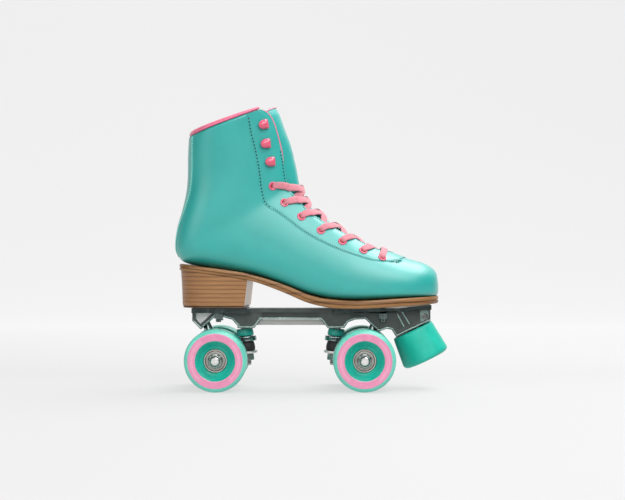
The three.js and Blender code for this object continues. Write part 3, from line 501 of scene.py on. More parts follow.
def stacked_look(name, dark, light, layer):
    """Stacked leather or wood: layers one above another, with fine grain along them."""
    look = Look(name, light, 0.46, Coat_Weight=0.1, Coat_Roughness=0.35)
    grain = look.noise(60, 6, 0.6, look.mapped((0.5, 0.5, 14)), 0.2)
    fine = look.noise(260, 4, 0.6, look.mapped((0.22, 0.22, 9)))
    layers = look.waves(BAND_SCALE / layer, None, 0.25, 1, "Z")
    base = look.ramp(grain, [(0.3, dark), (0.5, tint(light, 0.9)), (0.7, light)])
    lines = look.ramp(layers, [(0.0, (0.5, 0.42, 0.36)), (0.25, (0.93, 0.92, 0.9)), (1.0, (1, 1, 1))])
    streaks = look.ramp(fine, [(0.36, (0.82, 0.79, 0.75)), (0.6, (1.0, 1.0, 1.0))])
    look.color(look.mix(1.0, look.mix(0.85, base, lines, "MULTIPLY"), streaks, "MULTIPLY"))
    look.rough(grain, 0.4, 0.54)
    look.bump(layers, 0.15, 0.0002)
    look.bump(fine, 0.12, 0.0001)
    return look.material

def metal_look(name, color, roughness, scratches=0.06, grain=(1, 1, 1)):
    look = Look(name, color, roughness, 1.0)
    smear = look.noise(120, 4, 0.6, look.mapped(grain))
    look.color(look.ramp(smear, [(0.3, tint(color, 0.9)), (0.7, tint(color, 1.06))]))
    look.rough(smear, roughness * 0.8, roughness * 1.35)
    look.bump(look.noise(520, 3), scratches, 0.0001)
    return look.material

def rubber_look(name, color, roughness=0.5, grain=0.12):
    look = Look(name, color, roughness, Specular_IOR_Level=0.4)
    clouds = varied(look, color, 90, 0.08)
    look.rough(clouds, roughness * 0.9, roughness * 1.12)
    look.bump(look.noise(1400, 3), grain, 0.0001)
    return look.material

def urethane_look(name, color, roughness=0.26):
    look = Look(name, color, roughness, Subsurface_Weight=0.06, Subsurface_Scale=0.004)
    clouds = varied(look, color, 60, 0.05)
    look.rough(clouds, roughness * 0.85, roughness * 1.2)
    look.bump(look.noise(260, 2), 0.04, 0.0002)
    return look.material

TEAL = (0.008, 0.345, 0.31)
vinyl = vinyl_look("vinyl", TEAL)
thread = fabric_look("thread", (0.004, 0.05, 0.06), 0.0003, 0.1)
thread_pale = fabric_look("thread_pale", (0.3, 0.72, 0.63), 0.0003, 0.2)
collar_look = vinyl_look("collar_vinyl", (0.74, 0.14, 0.25))
lining_look = fabric_look("lining_knit", (0.8, 0.2, 0.32), 0.0008)
insole_look = fabric_look("insole_cover", (0.72, 0.7, 0.65), 0.0008)
lace_weave = lace_look("lace_weave", (0.56, 0.19, 0.23))
enamel = enamel_look("pink_enamel", (0.68, 0.095, 0.17))
# painted shade: a dark pink disc stands in for the shaded hole inside each eyelet
painted_hole_shade = enamel_look("eyelet_painted_hole_shade", (0.3, 0.03, 0.05))
sole_edge = stacked_look("sole_edge", (0.2, 0.088, 0.028), (0.33, 0.16, 0.053), 0.0042)
heel_stack = stacked_look("heel_stack", (0.28, 0.13, 0.045), (0.39, 0.188, 0.07), 0.002)
lift_look = stacked_look("heel_lift_edge", (0.07, 0.035, 0.018), (0.13, 0.065, 0.03), 0.001)
breast_look = vinyl_look("heel_breast", (0.74, 0.53, 0.38))
black_rubber = rubber_look("black_rubber", (0.012, 0.012, 0.013), 0.6)
teal_rubber = rubber_look("teal_rubber", (0.008, 0.42, 0.32), 0.42)
cushion_teal = rubber_look("teal_cushion", (0.01, 0.3, 0.24), 0.4)
# painted reflection: the dark, teal-tinted base stands in for the dark studio and the teal boot mirrored in
# the polished metal
chrome = metal_look("polished_cast", (0.24, 0.31, 0.3), 0.13)
cast_panel = metal_look("cast_panel", (0.4, 0.4, 0.39), 0.46, 0.5)
# painted shade and dark reflection on the plate's side faces towards the toe
cast_painted_shade = metal_look("cast_shade", (0.1, 0.115, 0.11), 0.36, 0.4)
# painted highlight: a much lighter metal on the flange's top band and the rear web's sides
cast_painted_highlight = metal_look("cast_painted_highlight", (0.8, 0.8, 0.79), 0.42, 0.3)
# painted reflection: the pale teal tint stands in for the teal boot mirrored in the polished rims and ribs
rim_metal = metal_look("polished_rim", (0.5, 0.66, 0.62), 0.22)
steel = metal_look("zinc_steel", (0.3, 0.32, 0.31), 0.2)
nickel = metal_look("nickel_steel", (0.8, 0.8, 0.78), 0.36)
nylon = rubber_look("nut_nylon", (0.02, 0.02, 0.022), 0.5)
bearing_metal = metal_look("bearing_steel", (0.66, 0.64, 0.58), 0.28)
shield_metal = metal_look("bearing_shield", (0.035, 0.028, 0.024), 0.35)
shield_rim = metal_look("bearing_shield_rim", (0.4, 0.4, 0.37), 0.35, 0.2)
wheel_teal = urethane_look("wheel_urethane", (0.02, 0.46, 0.35))
wheel_mint = urethane_look("wheel_lip", (0.13, 0.55, 0.44))
wheel_deep = urethane_look("wheel_core", (0.004, 0.36, 0.27))
print_pink = enamel_look("printed_ring", (0.68, 0.24, 0.39))
print_pale = enamel_look("printed_line", (0.8, 0.52, 0.6))


# ---------- camera, light and floor ----------
FLOOR_GLOW = 0.62  # the floor and the wall glow a little, so that they are equally pale
WALL_GLOW = 0.79
GLOW_REACH = (0.2, 1.3)  # metres behind the skate over which one becomes the other
FLOOR_COLOR = (0.12, 0.12, 0.12)
WORLD_LIGHT = 0.07
# The sweep, in millimetres: its front edge, its wall, the bend between them, half its width and its height
SWEEP_NEAR, SWEEP_WALL, SWEEP_BEND, SWEEP_REACH, SWEEP_HEIGHT = -800, 2300, 900, 3400, 3600


def make_camera():
    data = bpy.data.cameras.new("photo_camera")
    data.lens = 97.3
    data.sensor_width = 36
    data.clip_end = 50
    camera = bpy.data.objects.new("photo_camera", data)
    camera.location = (0, -1.6, 0.131)
    camera.rotation_euler = (math.radians(90), 0, 0)
    SCENE.collection.objects.link(camera)
    SCENE.camera = camera

def area_light(name, place, target, size, power):
    data = bpy.data.lights.new(name, "AREA")
    data.shape = "RECTANGLE"
    data.size, data.size_y = size
    data.energy = power
    light = bpy.data.objects.new(name, data)
    light.location = place
    light.rotation_euler = (Vector(target) - Vector(place)).to_track_quat("-Z", "Y").to_euler()
    SCENE.collection.objects.link(light)

def make_studio():
    world = bpy.data.worlds.new("studio")
    SCENE.world = world
    world.use_nodes = True
    background = world.node_tree.nodes["Background"]
    background.inputs["Color"].default_value = (1, 1, 1, 1)
    background.inputs["Strength"].default_value = WORLD_LIGHT
    area_light("key", (0.5, -1.0, 1.15), (0.03, 0, 0.14), (1.3, 0.9), 19)
    area_light("top", (0.5, 0.3, 1.25), (0.03, 0, 0.1), (1.2, 0.9), 22)
    area_light("front", (-0.15, -1.8, 0.8), (0, 0, 0.15), (1.5, 0.9), 11)
    area_light("fill", (-1.2, -0.9, 0.6), (-0.02, 0, 0.15), (0.7, 0.7), 5)
    SCENE.view_settings.view_transform = "Standard"
    floor = Look("studio_floor", FLOOR_COLOR, 0.95)
    floor.color(floor.ramp(floor.noise(2, 2), [(0.3, FLOOR_COLOR), (0.7, tint(FLOOR_COLOR, 1.025))]))
    floor.shader.inputs["Emission Color"].default_value = (1, 1, 1, 1)
    place = floor.placed("SeparateXYZ")
    glow = floor.grey(place.outputs["Y"], FLOOR_GLOW, WALL_GLOW, *GLOW_REACH)
    floor.links.new(glow, floor.shader.inputs["Emission Strength"])
    bend_start = SWEEP_WALL - SWEEP_BEND
    profile = [(SWEEP_NEAR, 0), (bend_start, 0)]
    for k in range(1, 17):
        turn = math.radians(90) * k / 16
        profile.append((bend_start + SWEEP_BEND * math.sin(turn), SWEEP_BEND - SWEEP_BEND * math.cos(turn)))
    profile.append((SWEEP_WALL, SWEEP_HEIGHT))
    points = [(x, y, z) for y, z in profile for x in (-SWEEP_REACH, SWEEP_REACH)]
    sweep = make("studio_sweep", points, grid_faces(len(profile), 2), floor.material, body=None)

# ---------- stitches ----------
# (part of the length, part of the width, part of the lift) at each ring of a stitch
STITCH_RINGS = [(-0.5, 0.25, -0.7), (-0.38, 0.85, 0.05), (0, 1.0, 0.25), (0.38, 0.85, 0.05),
                (0.5, 0.25, -0.7)]
STITCH_LIFT = 0.4


def stitch_mesh(places, width):
    """Small rounded stitches: each place is (middle, direction, outward, length)."""
    points, faces = [], []
    sides = circle(6)
    for middle, along, out, length in places:
        side = along.cross(out).normalized()
        base = len(points)
        for t, swell, rise in STITCH_RINGS:
            centre = middle + along * (t * length) + out * (rise * STITCH_LIFT)
            for c, s in sides:
                points.append(centre + side * (0.5 * width * swell * c) + out * (0.38 * width * swell * s))
        count = len(sides)
        faces += grid_faces(len(STITCH_RINGS), count, wrap_columns=True, start=base)
        for ring in (0, len(STITCH_RINGS) - 1):
            faces.append(tuple(base + ring * count + k for k in range(count)))
    return points, faces

def stitches_along(path, depth, pitch=3.1, length=1.8):
    """Stitch places along a path of (station, angle) on the boot."""
    steps = even_steps(path, pitch=pitch)
    places = []
    for (s0, a0), (s1, a1) in zip(steps, steps[1:]):
        p, q = on_boot(s0, a0, depth), on_boot(s1, a1, depth)
        out = outward_at((s0 + s1) / 2, (a0 + a1) / 2)
        places.append(((p + q) / 2, (q - p).normalized(), out, length))
    return places

# ---------- boot ----------
facing_side = [(21.0, 75.0)] + FACING[-2::-1]
throat_side = [(21.0, 56.0), (20.6, 48.5)] + THROAT[-3::-1] + [(5.12, 0.0)]
SEAM = smooth_path(mirrored(facing_side), 8)
EDGE = smooth_path(throat_side + [(s, -a) for s, a in reversed(throat_side[:-1])], 8)
PANEL_STEPS = 320
seam_steps = eased(even_steps(SEAM, PANEL_STEPS), 22)
edge_steps = eased(even_steps(EDGE, PANEL_STEPS), 5)


def panel_width(inner, outer):
    return (on_boot(*outer) - on_boot(*inner)).length


def without_loose(points, faces):
    """The points that some face uses, and the faces renumbered to match."""
    kept = sorted({k for face in faces for k in face})
    place = {old: new for new, old in enumerate(kept)}
    return [points[k] for k in kept], [tuple(place[k] for k in face) for face in faces]

TOE_CROWDING = 1.15  # above 1, the rows lie closer together at the toe
UPPER_CUT_START = 4.6  # station from which the upper is cut away under the eyestay
UPPER_LAP = 8  # degrees that it runs on under the eyestay
TIP_RINGS = [(0.8, 118.95), (0.5, 119.2), (0.2, 119.32)]  # size and x of the rings that close the toe
BOOT_MIDDLE = Vector((-40, 0, 150))


def make_upper():
    rows, columns = 150, 144
    points = []
    for i in range(rows + 1):
        station = COLLAR_STATION * (i / rows) ** TOE_CROWDING
        points += [on_boot(station, 360 * j / columns) for j in range(columns)]
    faces = []
    for face in grid_faces(rows + 1, columns, wrap_columns=True):
        row, column = divmod(face[0], columns)
        station = COLLAR_STATION * ((row + 0.5) / rows) ** TOE_CROWDING
        angle = 360 * (column + 0.5) / columns
        angle = min(angle, 360 - angle)
        if station <= UPPER_CUT_START or angle >= value_at(FACING, station) - UPPER_LAP:
            faces.append(face)
    tip = points[:columns]
    middle = sum(tip, Vector()) / columns
    inner = 0
    for scale, x in TIP_RINGS:
        base = len(points)
        for p in tip:
            y, z = middle.y + (p.y - middle.y) * scale, middle.z + (p.z - middle.z) * scale
            points.append(Vector((x, y, z)))
        for j in range(columns):
            k = (j + 1) % columns
            faces.append((inner + j, base + j, base + k, inner + k))
        inner = base
    faces.append(tuple(inner + j for j in range(columns)))
    piece = make("boot_upper", *without_loose(points, faces), vinyl)
    face_out(piece)
    orient_outward(piece)
    thickened(piece, "vinyl_thickness", 1.5)
    stand_for("upper")

# Cross-section of the eyestay: (edge measured from, distance from it, depth). Stitch lines pinch it.
EYESTAY_PROFILE = [("in", 8, 1.7), ("in", 0.5, 1.7), ("in", 0.05, 1.3), ("in", 0.0, 0.3), ("in", 0.25, -0.2),
                   ("in", 0.8, -0.52), ("in", 1.5, -0.56), ("in", 2.3, -0.3), ("in", 3.1, -0.56)]
EYESTAY_PROFILE += [("part", k / 10, -0.58) for k in range(3, 9)]
EYESTAY_PROFILE += [("out", 3.0, -0.5), ("out", 2.3, -0.44), ("out", 1.7, -0.2), ("out", 1.1, -0.36),
                    ("out", 0.45, -0.3), ("out", 0.05, -0.05), ("out", 0.0, 0.4)]


def strip_fraction(edge, distance, width):
    if edge == "in":
        return distance / width
    if edge == "out":
        return 1 - distance / width
    return distance

def make_eyestay():
    points = []
    for inner, outer in zip(edge_steps, seam_steps):
        width = panel_width(inner, outer)
        for edge, distance, depth in EYESTAY_PROFILE:
            points.append(on_boot(*between(inner, outer, strip_fraction(edge, distance, width)), depth))
    faces = grid_faces(PANEL_STEPS, len(EYESTAY_PROFILE))
    piece = make("boot_eyestay", points, faces, vinyl)
    orient_outward(piece)
    stand_for("eyestay")

def orient_outward(piece):
    """Flips an open skin of the boot if most of its faces look inwards."""
    mesh = piece.data
    score = sum((p.center - BOOT_MIDDLE * MM).dot(p.normal) * p.area for p in mesh.polygons)
    if score < 0:
        mesh.flip_normals()

def backstay_half(station):
    return value_at(BACKSTAY, station)

BACKSTAY_START = 13.75


def make_backstay():
    rows, columns = 90, 24
    points = []
    for i in range(rows + 1):
        station = lerp(BACKSTAY_START, COLLAR_STATION, i / rows)
        half = backstay_half(station) * min(1, math.sqrt((i + 0.3) / 10))
        for j in range(columns + 1):
            t = 2 * j / columns - 1
            edge = 1 - abs(t)
            depth = -0.7 if edge > 0.09 else lerp(0.35, -0.62, (edge / 0.09) ** 0.5)
            points.append(on_boot(station, 180 + half * t, depth))
    piece = make("boot_backstay", points, grid_faces(rows + 1, columns + 1), vinyl)
    orient_outward(piece)
    stand_for("backstay")

SHAFT_START = 12.5  # station where the finer stitching of the vamp ends
SEAM_INSET = 1.7
EDGE_INSET = 2.3


def panel_stitches():
    """Stitches along the eyestay's seam and throat edge, finer on the vamp, with the tack at the toe end."""
    places, fine = [], []
    seam_row, edge_row = [], []
    for inner, outer in zip(edge_steps, seam_steps):
        width = panel_width(inner, outer)
        seam_row.append(between(inner, outer, 1 - SEAM_INSET / width))
        edge_row.append(between(inner, outer, EDGE_INSET / width))
    for row, depth, first in ((seam_row, -0.3, 2), (edge_row, -0.36, 34)):
        low = [k for k, (station, _) in enumerate(row) if station < SHAFT_START]
        places += stitches_along(row[first:low[0]], depth)
        fine += stitches_along(row[low[0]:low[-1] + 1], depth, 2.1, 1.5)
        places += stitches_along(row[low[-1] + 1:len(row) - first], depth)
    tack = on_boot(5.02, 0, -0.4)
    out = outward_at(5.02, 0)
    along = (on_boot(5.1, 0) - on_boot(4.9, 0)).normalized()
    sideways = Vector((0, 1, 0))
    for offset in (-1.3, 1.3):
        fine.append((tack + along * offset, sideways, out, 3.4))
        fine.append((tack + sideways * offset, along, out, 3.0))
    return places, fine


def backstay_stitches():
    """A row down each side of the backstay, with zigzag stitches beside it."""
    rows = []
    for side in (-1, 1):
        stations = [lerp(14.3, 20.95, k / 60) for k in range(61)]
        line = [(s, 180 + side * (backstay_half(s) - 3.2)) for s in stations]
        rows += stitches_along(line, -0.6, 2.6, 1.9)
        spots = even_steps(line, pitch=1.9)
        for (s0, a0), (s1, a1) in zip(spots, spots[1:]):
            p = on_boot(s0, a0 - side * 0.4, -0.62)
            q = on_boot(s1, a1 - side * 3.92, -0.62)
            rows.append(((p + q) / 2, (q - p).normalized(), outward_at(s0, a0), (q - p).length * 0.85))
    return rows


def make_stitching():
    places, fine = panel_stitches()
    make_thread("boot_stitching", places, thread, 1.35)
    make_thread("boot_fine_stitching", fine, thread, 0.85)
    make_thread("backstay_stitching", backstay_stitches(), thread_pale, 1.0)

def make_thread(name, places, material, width):
    points, faces = stitch_mesh(places, width)
    piece = face_out(make(name, points, faces, material))

def make_lining():
    rows, columns = 120, 90
    points = []
    for i in range(rows + 1):
        station = lerp(3.96, 21.05, i / rows)
        start = value_at(FACING, station) + 2.5
        points += [on_boot(station, lerp(start, 360 - start, j / columns), 3.0) for j in range(columns + 1)]
    piece = make("boot_lining", points, grid_faces(rows + 1, columns + 1), lining_look)
    orient_outward(piece)
    thickened(piece, "knit_thickness", 1.2)
    stand_for("lining")

def make_facing_lining():
    """The pink lining under the eyestay, whose edge shows along the top of the throat."""
    for name, side in (("throat_binding_outer", -1), ("throat_binding_inner", 1)):
        path = [(s, a) for s, a in edge_steps if a * side > 0 and s > 15.6]
        if side < 0:
            path = path[::-1]
        rings = []
        for k, (s, a) in enumerate(path):
            fade = min(1, (len(path) - 1 - k) / 12, (k + 1) / 3)
            centre = on_boot(s, a - side * 0.9, 0.9)
            inward = (on_boot(s, a - side * 2) - on_boot(s, a)).normalized()
            rings.append(oval(centre, outward_at(s, a), inward, 1.3 * fade, 0.95 * fade, 12))
        make_binding(name, rings)

TONGUE_START = 4.95
TONGUE_DEPTH = 8.0
COLLAR_BACK_RADIUS = 2.7
COLLAR_FRONT_RADIUS = 1.6


def make_binding(name, rings):
    points, faces = closed_loft(rings)
    face_out(make(name, points, faces, collar_look))


def tongue_half(station):
    half = min(value_at(FACING, station) - 5, 55)
    corner = 0.45  # stations over which the top corners are rounded off
    if station > TONGUE_TOP - corner:
        half *= math.sqrt(max(0.05, 1 - 0.55 * ((station - TONGUE_TOP + corner) / corner) ** 2))
    return half

def make_tongue():
    rows, columns = 110, 40
    rings = []
    for i in range(rows + 1):
        station = lerp(TONGUE_START, TONGUE_TOP, i / rows)
        half = tongue_half(station)
        end = min(1, (rows - i) / 5 + 0.25)
        puff = 0
        if 16 < station < 20.7:
            puff = 0.5 * math.sin(min(1, (20.7 - station) / 4.7) * math.pi)
        ring = []
        for c, s in circle(columns):
            depth = TONGUE_DEPTH - signed_power(s, 0.6) * (1.9 * end + puff)
            ring.append(on_boot(station, half * signed_power(c, 0.75), depth))
        rings.append(ring)
    points, faces = closed_loft(rings)
    piece = face_out(make("boot_tongue", points, faces, vinyl))
    stand_for("tongue")
    make_tongue_binding()


def make_tongue_binding():
    """The pink binding over the tongue's top edge."""
    top = TONGUE_TOP - 0.05
    path = [(top - 0.16 * abs(t) ** 5, tongue_half(top) * t) for t in (k / 20 - 1 for k in range(41))]
    rings = []
    for k, (s, a) in enumerate(path):
        fade = math.sqrt(min(1, (k + 0.3) / 3, (len(path) - 0.7 - k) / 3))
        centre = on_boot(s, a, TONGUE_DEPTH)
        up = (on_boot(s, a, TONGUE_DEPTH) - on_boot(s - 0.3, a, TONGUE_DEPTH)).normalized()
        rings.append(oval(centre + up * 0.4, outward_at(s, a), up, 1.5 * fade, 0.75 * fade, 16))
    make_binding("tongue_binding", rings)

def make_collar():
    """The padded roll round the top, thinner towards the throat, with faint creases."""
    up = (on_boot(COLLAR_STATION + 0.3, 180) - on_boot(COLLAR_STATION, 180)).normalized()
    throat = value_at(THROAT, COLLAR_STATION) + 2
    count = 180
    rings = []
    for i in range(count + 1):
        angle = throat + 5 + (350 - 2 * throat) * i / count
        forward = abs(angle - 180) / (180 - throat)
        end = math.sqrt(min(1.0, (min(i, count - i) + 0.15) / 2.2))
        full = lerp(COLLAR_BACK_RADIUS, COLLAR_FRONT_RADIUS, forward ** 1.3)
        radius = full * end
        edge = on_boot(COLLAR_STATION, angle, 2.2)
        inward = (on_boot(COLLAR_STATION, angle, 12) - edge).normalized()
        crease = 1 - 0.035 * max(0, math.sin(i * 0.9)) ** 6
        centre = edge + up * (full + 0.35)
        ring = []
        for c, s in circle(24):
            wide = 1.02 * radius * crease * signed_power(c, 0.86)
            high = radius * crease * signed_power(s, 0.92)
            ring.append(centre + inward * wide + up * high)
        rings.append(ring)
    points, faces = closed_loft(rings)
    piece = face_out(make("boot_collar", points, faces, collar_look))
    stand_for("collar")

# ---------- lace, eyelets and hooks ----------
def eyelet_angle(station):
    return value_at(EYELET_LINE, station)

def eyelet_frame(station, angle):
    out = outward_at(station, angle)
    up = (on_boot(station + 0.1, angle) - on_boot(station - 0.1, angle)).normalized()
    side = up.cross(out).normalized()
    up = out.cross(side).normalized()
    place = Matrix((side, up, out)).transposed().to_4x4()
    place.translation = on_boot(station, angle)
    return place

def make_eyelets(name, side, node):
    """A row of flanged rings, each closed in the middle and at the back by dark discs of painted shade that
    stand in for the hole.
    """
    profile = [(4.15, 0.62), (4.05, 1.0), (3.6, 1.35), (3.1, 1.38), (2.65, 1.15), (2.4, 0.8)]
    segments = 40
    points, faces, dark = [], [], []
    for station in EYELET_STEPS:
        place = eyelet_frame(station, side * eyelet_angle(station))
        base = len(points)
        points += [place @ Vector((r * c, r * s, h)) for r, h in profile for c, s in circle(segments)]
        faces += grid_faces(len(profile), segments, wrap_columns=True, start=base)
        dark += [0] * ((len(profile) - 1) * segments)
        # both discs that close each ring take the painted hole shade
        faces.append(tuple(base + (len(profile) - 1) * segments + k for k in range(segments)))
        faces.append(tuple(base + k for k in reversed(range(segments))))
        dark += [1, 1]
    piece = make(name, points, faces, [enamel, painted_hole_shade])
    for polygon, index in zip(piece.data.polygons, dark):
        polygon.material_index = index
    face_out(piece)
    stand_for(node)

# The lace's cross-section: parts of its half width and of its thickness
LACE_SECTION = [(-1, 0), (-0.88, 0.5), (-0.45, 0.62), (0, 0.66), (0.45, 0.62), (0.88, 0.5), (1, 0),
                (0.88, -0.5), (0, -0.5), (-0.88, -0.5)]


def ribbon(path, widths, thickness=1.15):
    """A flat lace along a path of (station, angle, depth), its edges rounded and its middle crowned."""
    dense = smooth_path(path, 7)
    last = len(dense) - 1
    places = [on_boot(*p) for p in dense]
    flat = [on_boot(p[0], p[1]) for p in dense]
    rings = []
    for i, (s, a, *_) in enumerate(dense):
        tangent = (places[min(i + 1, last)] - places[max(i - 1, 0)]).normalized()
        ground = (flat[min(i + 5, last)] - flat[max(i - 5, 0)]).normalized()
        side = outward_at(s, a).cross(ground).normalized()
        side = (side - tangent * side.dot(tangent)).normalized()
        out = tangent.cross(side).normalized()
        if out.dot(outward_at(s, a)) < -0.2:
            out = -out
        wide = value_at(widths, i / last) / 2
        rings.append([places[i] + side * (w * wide) + out * (h * thickness) for w, h in LACE_SECTION])
    return closed_loft(rings)

def level_station(station):
    """Station on the front line that lies straight across from the eyelet of a station."""
    seat = on_boot(station, eyelet_angle(station))
    seat.y = 0

    def miss(s):
        return abs((on_boot(s, 0) - seat).dot(on_boot(s + 0.1, 0) - on_boot(s - 0.1, 0)))

    last = int(station * 20)
    return min((k / 20 for k in range(last - 90, last + 1)), key=miss)

def across(from_station, to_station, start, t, angle):
    """Station of a lace that runs straight over the front from one eyelet to another."""
    drop = lerp(level_station(from_station) - from_station, level_station(to_station) - to_station, t)
    reach = math.cos(math.radians(start))
    return lerp(from_station, to_station, t) + drop * (math.cos(math.radians(angle)) - reach) / (1 - reach)

def lace_crossing(from_station, to_station, side, lift):
    start = side * eyelet_angle(from_station)
    end = -side * eyelet_angle(to_station)
    lip = side * (value_at(THROAT, from_station) - 2)
    edge = -side * (value_at(THROAT, to_station) - 4)

    def at(t, angle, depth):
        return (across(from_station, to_station, start, t, angle), angle, depth)

    path = [at(0, start, 1.4), at(0.005, start * 0.985, -1.2), at(0.05, start * 0.9, -2.1),
            at(0.16, start * 0.78, -1.9), at(0.28, lip, -1.1 - lift / 3), at(0.4, lip * 0.5, 2.6 - lift),
            at(0.52, 0, 4.2 - lift), at(0.68, edge * 0.45, 4.4 - lift / 2), at(0.84, edge, 4.3),
            at(0.95, lerp(edge, end, 0.6), 4.4)]
    return ribbon(path, [(0, 3.4), (0.08, 4.4), (0.2, 6.6), (0.4, 7.1), (0.9, 6.8), (1, 6.5)])

def make_lace():
    parts = []
    for low, high in zip(EYELET_STEPS, EYELET_STEPS[1:]):
        parts.append(lace_crossing(high, low, -1, 0))
        parts.append(lace_crossing(high, low, 1, 1.5))
    toe = EYELET_STEPS[0]
    reach = eyelet_angle(toe)
    half = [(reach, 1.4), (reach * 0.985, -1.2), (reach * 0.86, -2.1), (reach * 0.4, -1.6), (0, -1.2)]
    half = [(across(toe, toe, reach, 0, a), a, depth) for a, depth in half]
    path = [(s, -a, depth) for s, a, depth in half] + list(reversed(half[:-1]))
    parts.append(ribbon(path, [(0, 3.6), (0.1, 4.2), (0.22, 6.3), (0.78, 6.3), (0.9, 4.2), (1, 3.6)]))
    piece = face_out(make("boot_lace", *joined(parts), lace_weave))
    stand_for("lace")

HOOK_FOLD = [(-3.5, 5.0), (-4.3, 4.5), (-4.7, 3.4), (-4.5, 2.0), (-3.6, 1.25), (-2.0, 1.1), (2.2, 1.1)]


def make_hook(node, station, side):
    """A bent hook: round foot, fold towards the throat and a domed cap that opens away from it."""
    place = eyelet_frame(station, side * eyelet_angle(station))
    if side < 0:
        place = place @ Matrix.Rotation(math.pi, 4, "Z")
    points = []
    rows, columns = 14, 12
    for i in range(rows + 1):
        u = i / rows
        x = lerp(5.2, -3.4, u)
        round_part = min(1, u / 0.5)
        half = 4.1 * math.sqrt(1 - (1 - round_part) ** 2) + 0.55 * max(0, u - 0.5) * 2 + 0.05
        rise = 2.6 + 2.2 * math.sin(min(1, u / 0.62) * math.pi / 2)
        if u > 0.82:
            rise = lerp(rise, 4.2, (u - 0.82) / 0.18)
        for j in range(columns + 1):
            v = 2 * j / columns - 1
            points.append(place @ Vector((x, half * v, 0.9 + rise * (1 - 0.5 * abs(v) ** 2.4))))
    faces = grid_faces(rows + 1, columns + 1)
    faces += grid_faces(len(HOOK_FOLD), 5, start=len(points))
    for x, z in HOOK_FOLD:
        points += [place @ Vector((x, w, z - 0.35 * abs(w / 4))) for w in (-4.4, -2.2, 0, 2.2, 4.4)]
    piece = make(node + "_cap", points, faces, enamel)
    thickened(piece, "sheet", 0.8)
    smooth = piece.modifiers.new("round", "SUBSURF")
    smooth.levels = 1
    smooth.render_levels = 1
    stand_for(node)

# ---------- sole and heel ----------
OUTER_EDGE = [(-125.6, 0), (-125, -9), (-121, -19), (-112, -26.5), (-95, -30), (-70, -29.6), (-45, -28),
              (-20, -29.5), (10, -36), (40, -42.6), (62, -43.2), (84, -39), (101, -30), (112, -18.5),
              (117.6, -7), (119.4, 4)]
INNER_EDGE = [(-125.6, 0), (-125, 9), (-121, 19), (-112, 26.5), (-95, 30), (-70, 28.5), (-45, 25.5),
              (-20, 25.5), (10, 31), (40, 39), (62, 43), (84, 42), (101, 36), (112, 26), (117.6, 15),
              (119.4, 4)]
SOLE_TOP = [(-126, 117.8), (-80, 111.9), (-56.6, 107.6), (-28.2, 98.9), (-8, 90.6), (0.4, 87.8), (11.3, 85.4),
            (28, 83.9), (45.2, 83.5), (80.8, 85.5), (120, 87.6)]
SOLE_BOTTOM = [(-126, 112.2), (-80, 106.2), (-55, 101.6), (-28.2, 92), (-9.1, 83.7), (3, 79.9), (15.2, 77.6),
               (24, 76.8), (45, 76.8), (80.8, 78.5), (120, 81)]


# (inset from the edge, part of the way from bottom to top)
SOLE_PROFILE = [(3.5, 0.0), (0.7, 0.0), (0.15, 0.08), (0.0, 0.2), (0.0, 0.4), (0.9, 0.46), (0.9, 0.53),
                (0.0, 0.58), (0.0, 0.8), (0.25, 0.97), (1.0, 1.06), (2.6, 1.08), (4.5, 1.02)]
HEEL_BOTTOM = 78.5
# (part of the way from bottom to top, growth of the outline)
HEEL_LEVELS = [(0.0, -1.3), (0.02, -0.75), (0.2, -0.55), (0.45, -0.3), (0.7, 0.15), (0.9, 0.6), (1.0, 0.8)]


def make_outsole():
    top_line, bottom_line = smooth_path(SOLE_TOP, 6), smooth_path(SOLE_BOTTOM, 6)
    outer = smooth_path(OUTER_EDGE, 8)
    inner = smooth_path(INNER_EDGE[::-1], 8)
    outline = outer + inner[1:-1]
    count, columns = len(outline), len(SOLE_PROFILE)
    points = []
    for i, (x, y) in enumerate(outline):
        before, after = outline[i - 1], outline[(i + 1) % count]
        tangent = Vector((after[0] - before[0], after[1] - before[1], 0)).normalized()
        normal = Vector((tangent.y, -tangent.x, 0))
        if normal.dot(Vector((x, y, 0))) < 0:
            normal = -normal
        for inset, part in SOLE_PROFILE:
            p = Vector((x, y, 0)) - normal * inset
            low, high = value_at(bottom_line, p.x), value_at(top_line, p.x)
            points.append((p.x, p.y, lerp(low, high, part)))
    faces = grid_faces(count, columns, wrap_rows=True)
    # the flat underside and the hidden bed, as strips between the two sides
    for column in (0, columns - 1):
        half = len(outer)
        ring = [i * columns + column for i in range(count)]
        for k in range(1, half - 2):
            other = count - k
            if other - 1 <= k + 1:
                break
            faces.append((ring[k], ring[k + 1], ring[other - 1], ring[other % count]))
        faces.append((ring[0], ring[1], ring[count - 1]))
        faces.append((ring[half - 2], ring[half - 1], ring[half]))
    piece = face_out(make("sole_unit", points, faces, sole_edge))
    sharp_by_angle(piece, 50)
    stand_for("outsole")

def heel_outline(grow, breast_outer, breast_inner):
    """Plan of the heel as (x, y) from the outer breast corner round the back to the inner one."""
    half = 28.8 + grow
    bend_x = 30 - 123.6 - grow
    bend = []
    for k in range(41):
        turn = math.pi / 2 + math.pi * k / 40
        bend.append((bend_x + 30 * math.cos(turn), half * math.sin(turn)))
    side = [(lerp(bend_x, breast_inner, k / 8), half - 0.9 * (k / 8) ** 2) for k in range(8, 0, -1)]
    other = [(lerp(bend_x, breast_outer, k / 8), -half + 0.9 * (k / 8) ** 2) for k in range(1, 9)]
    return side + bend + other

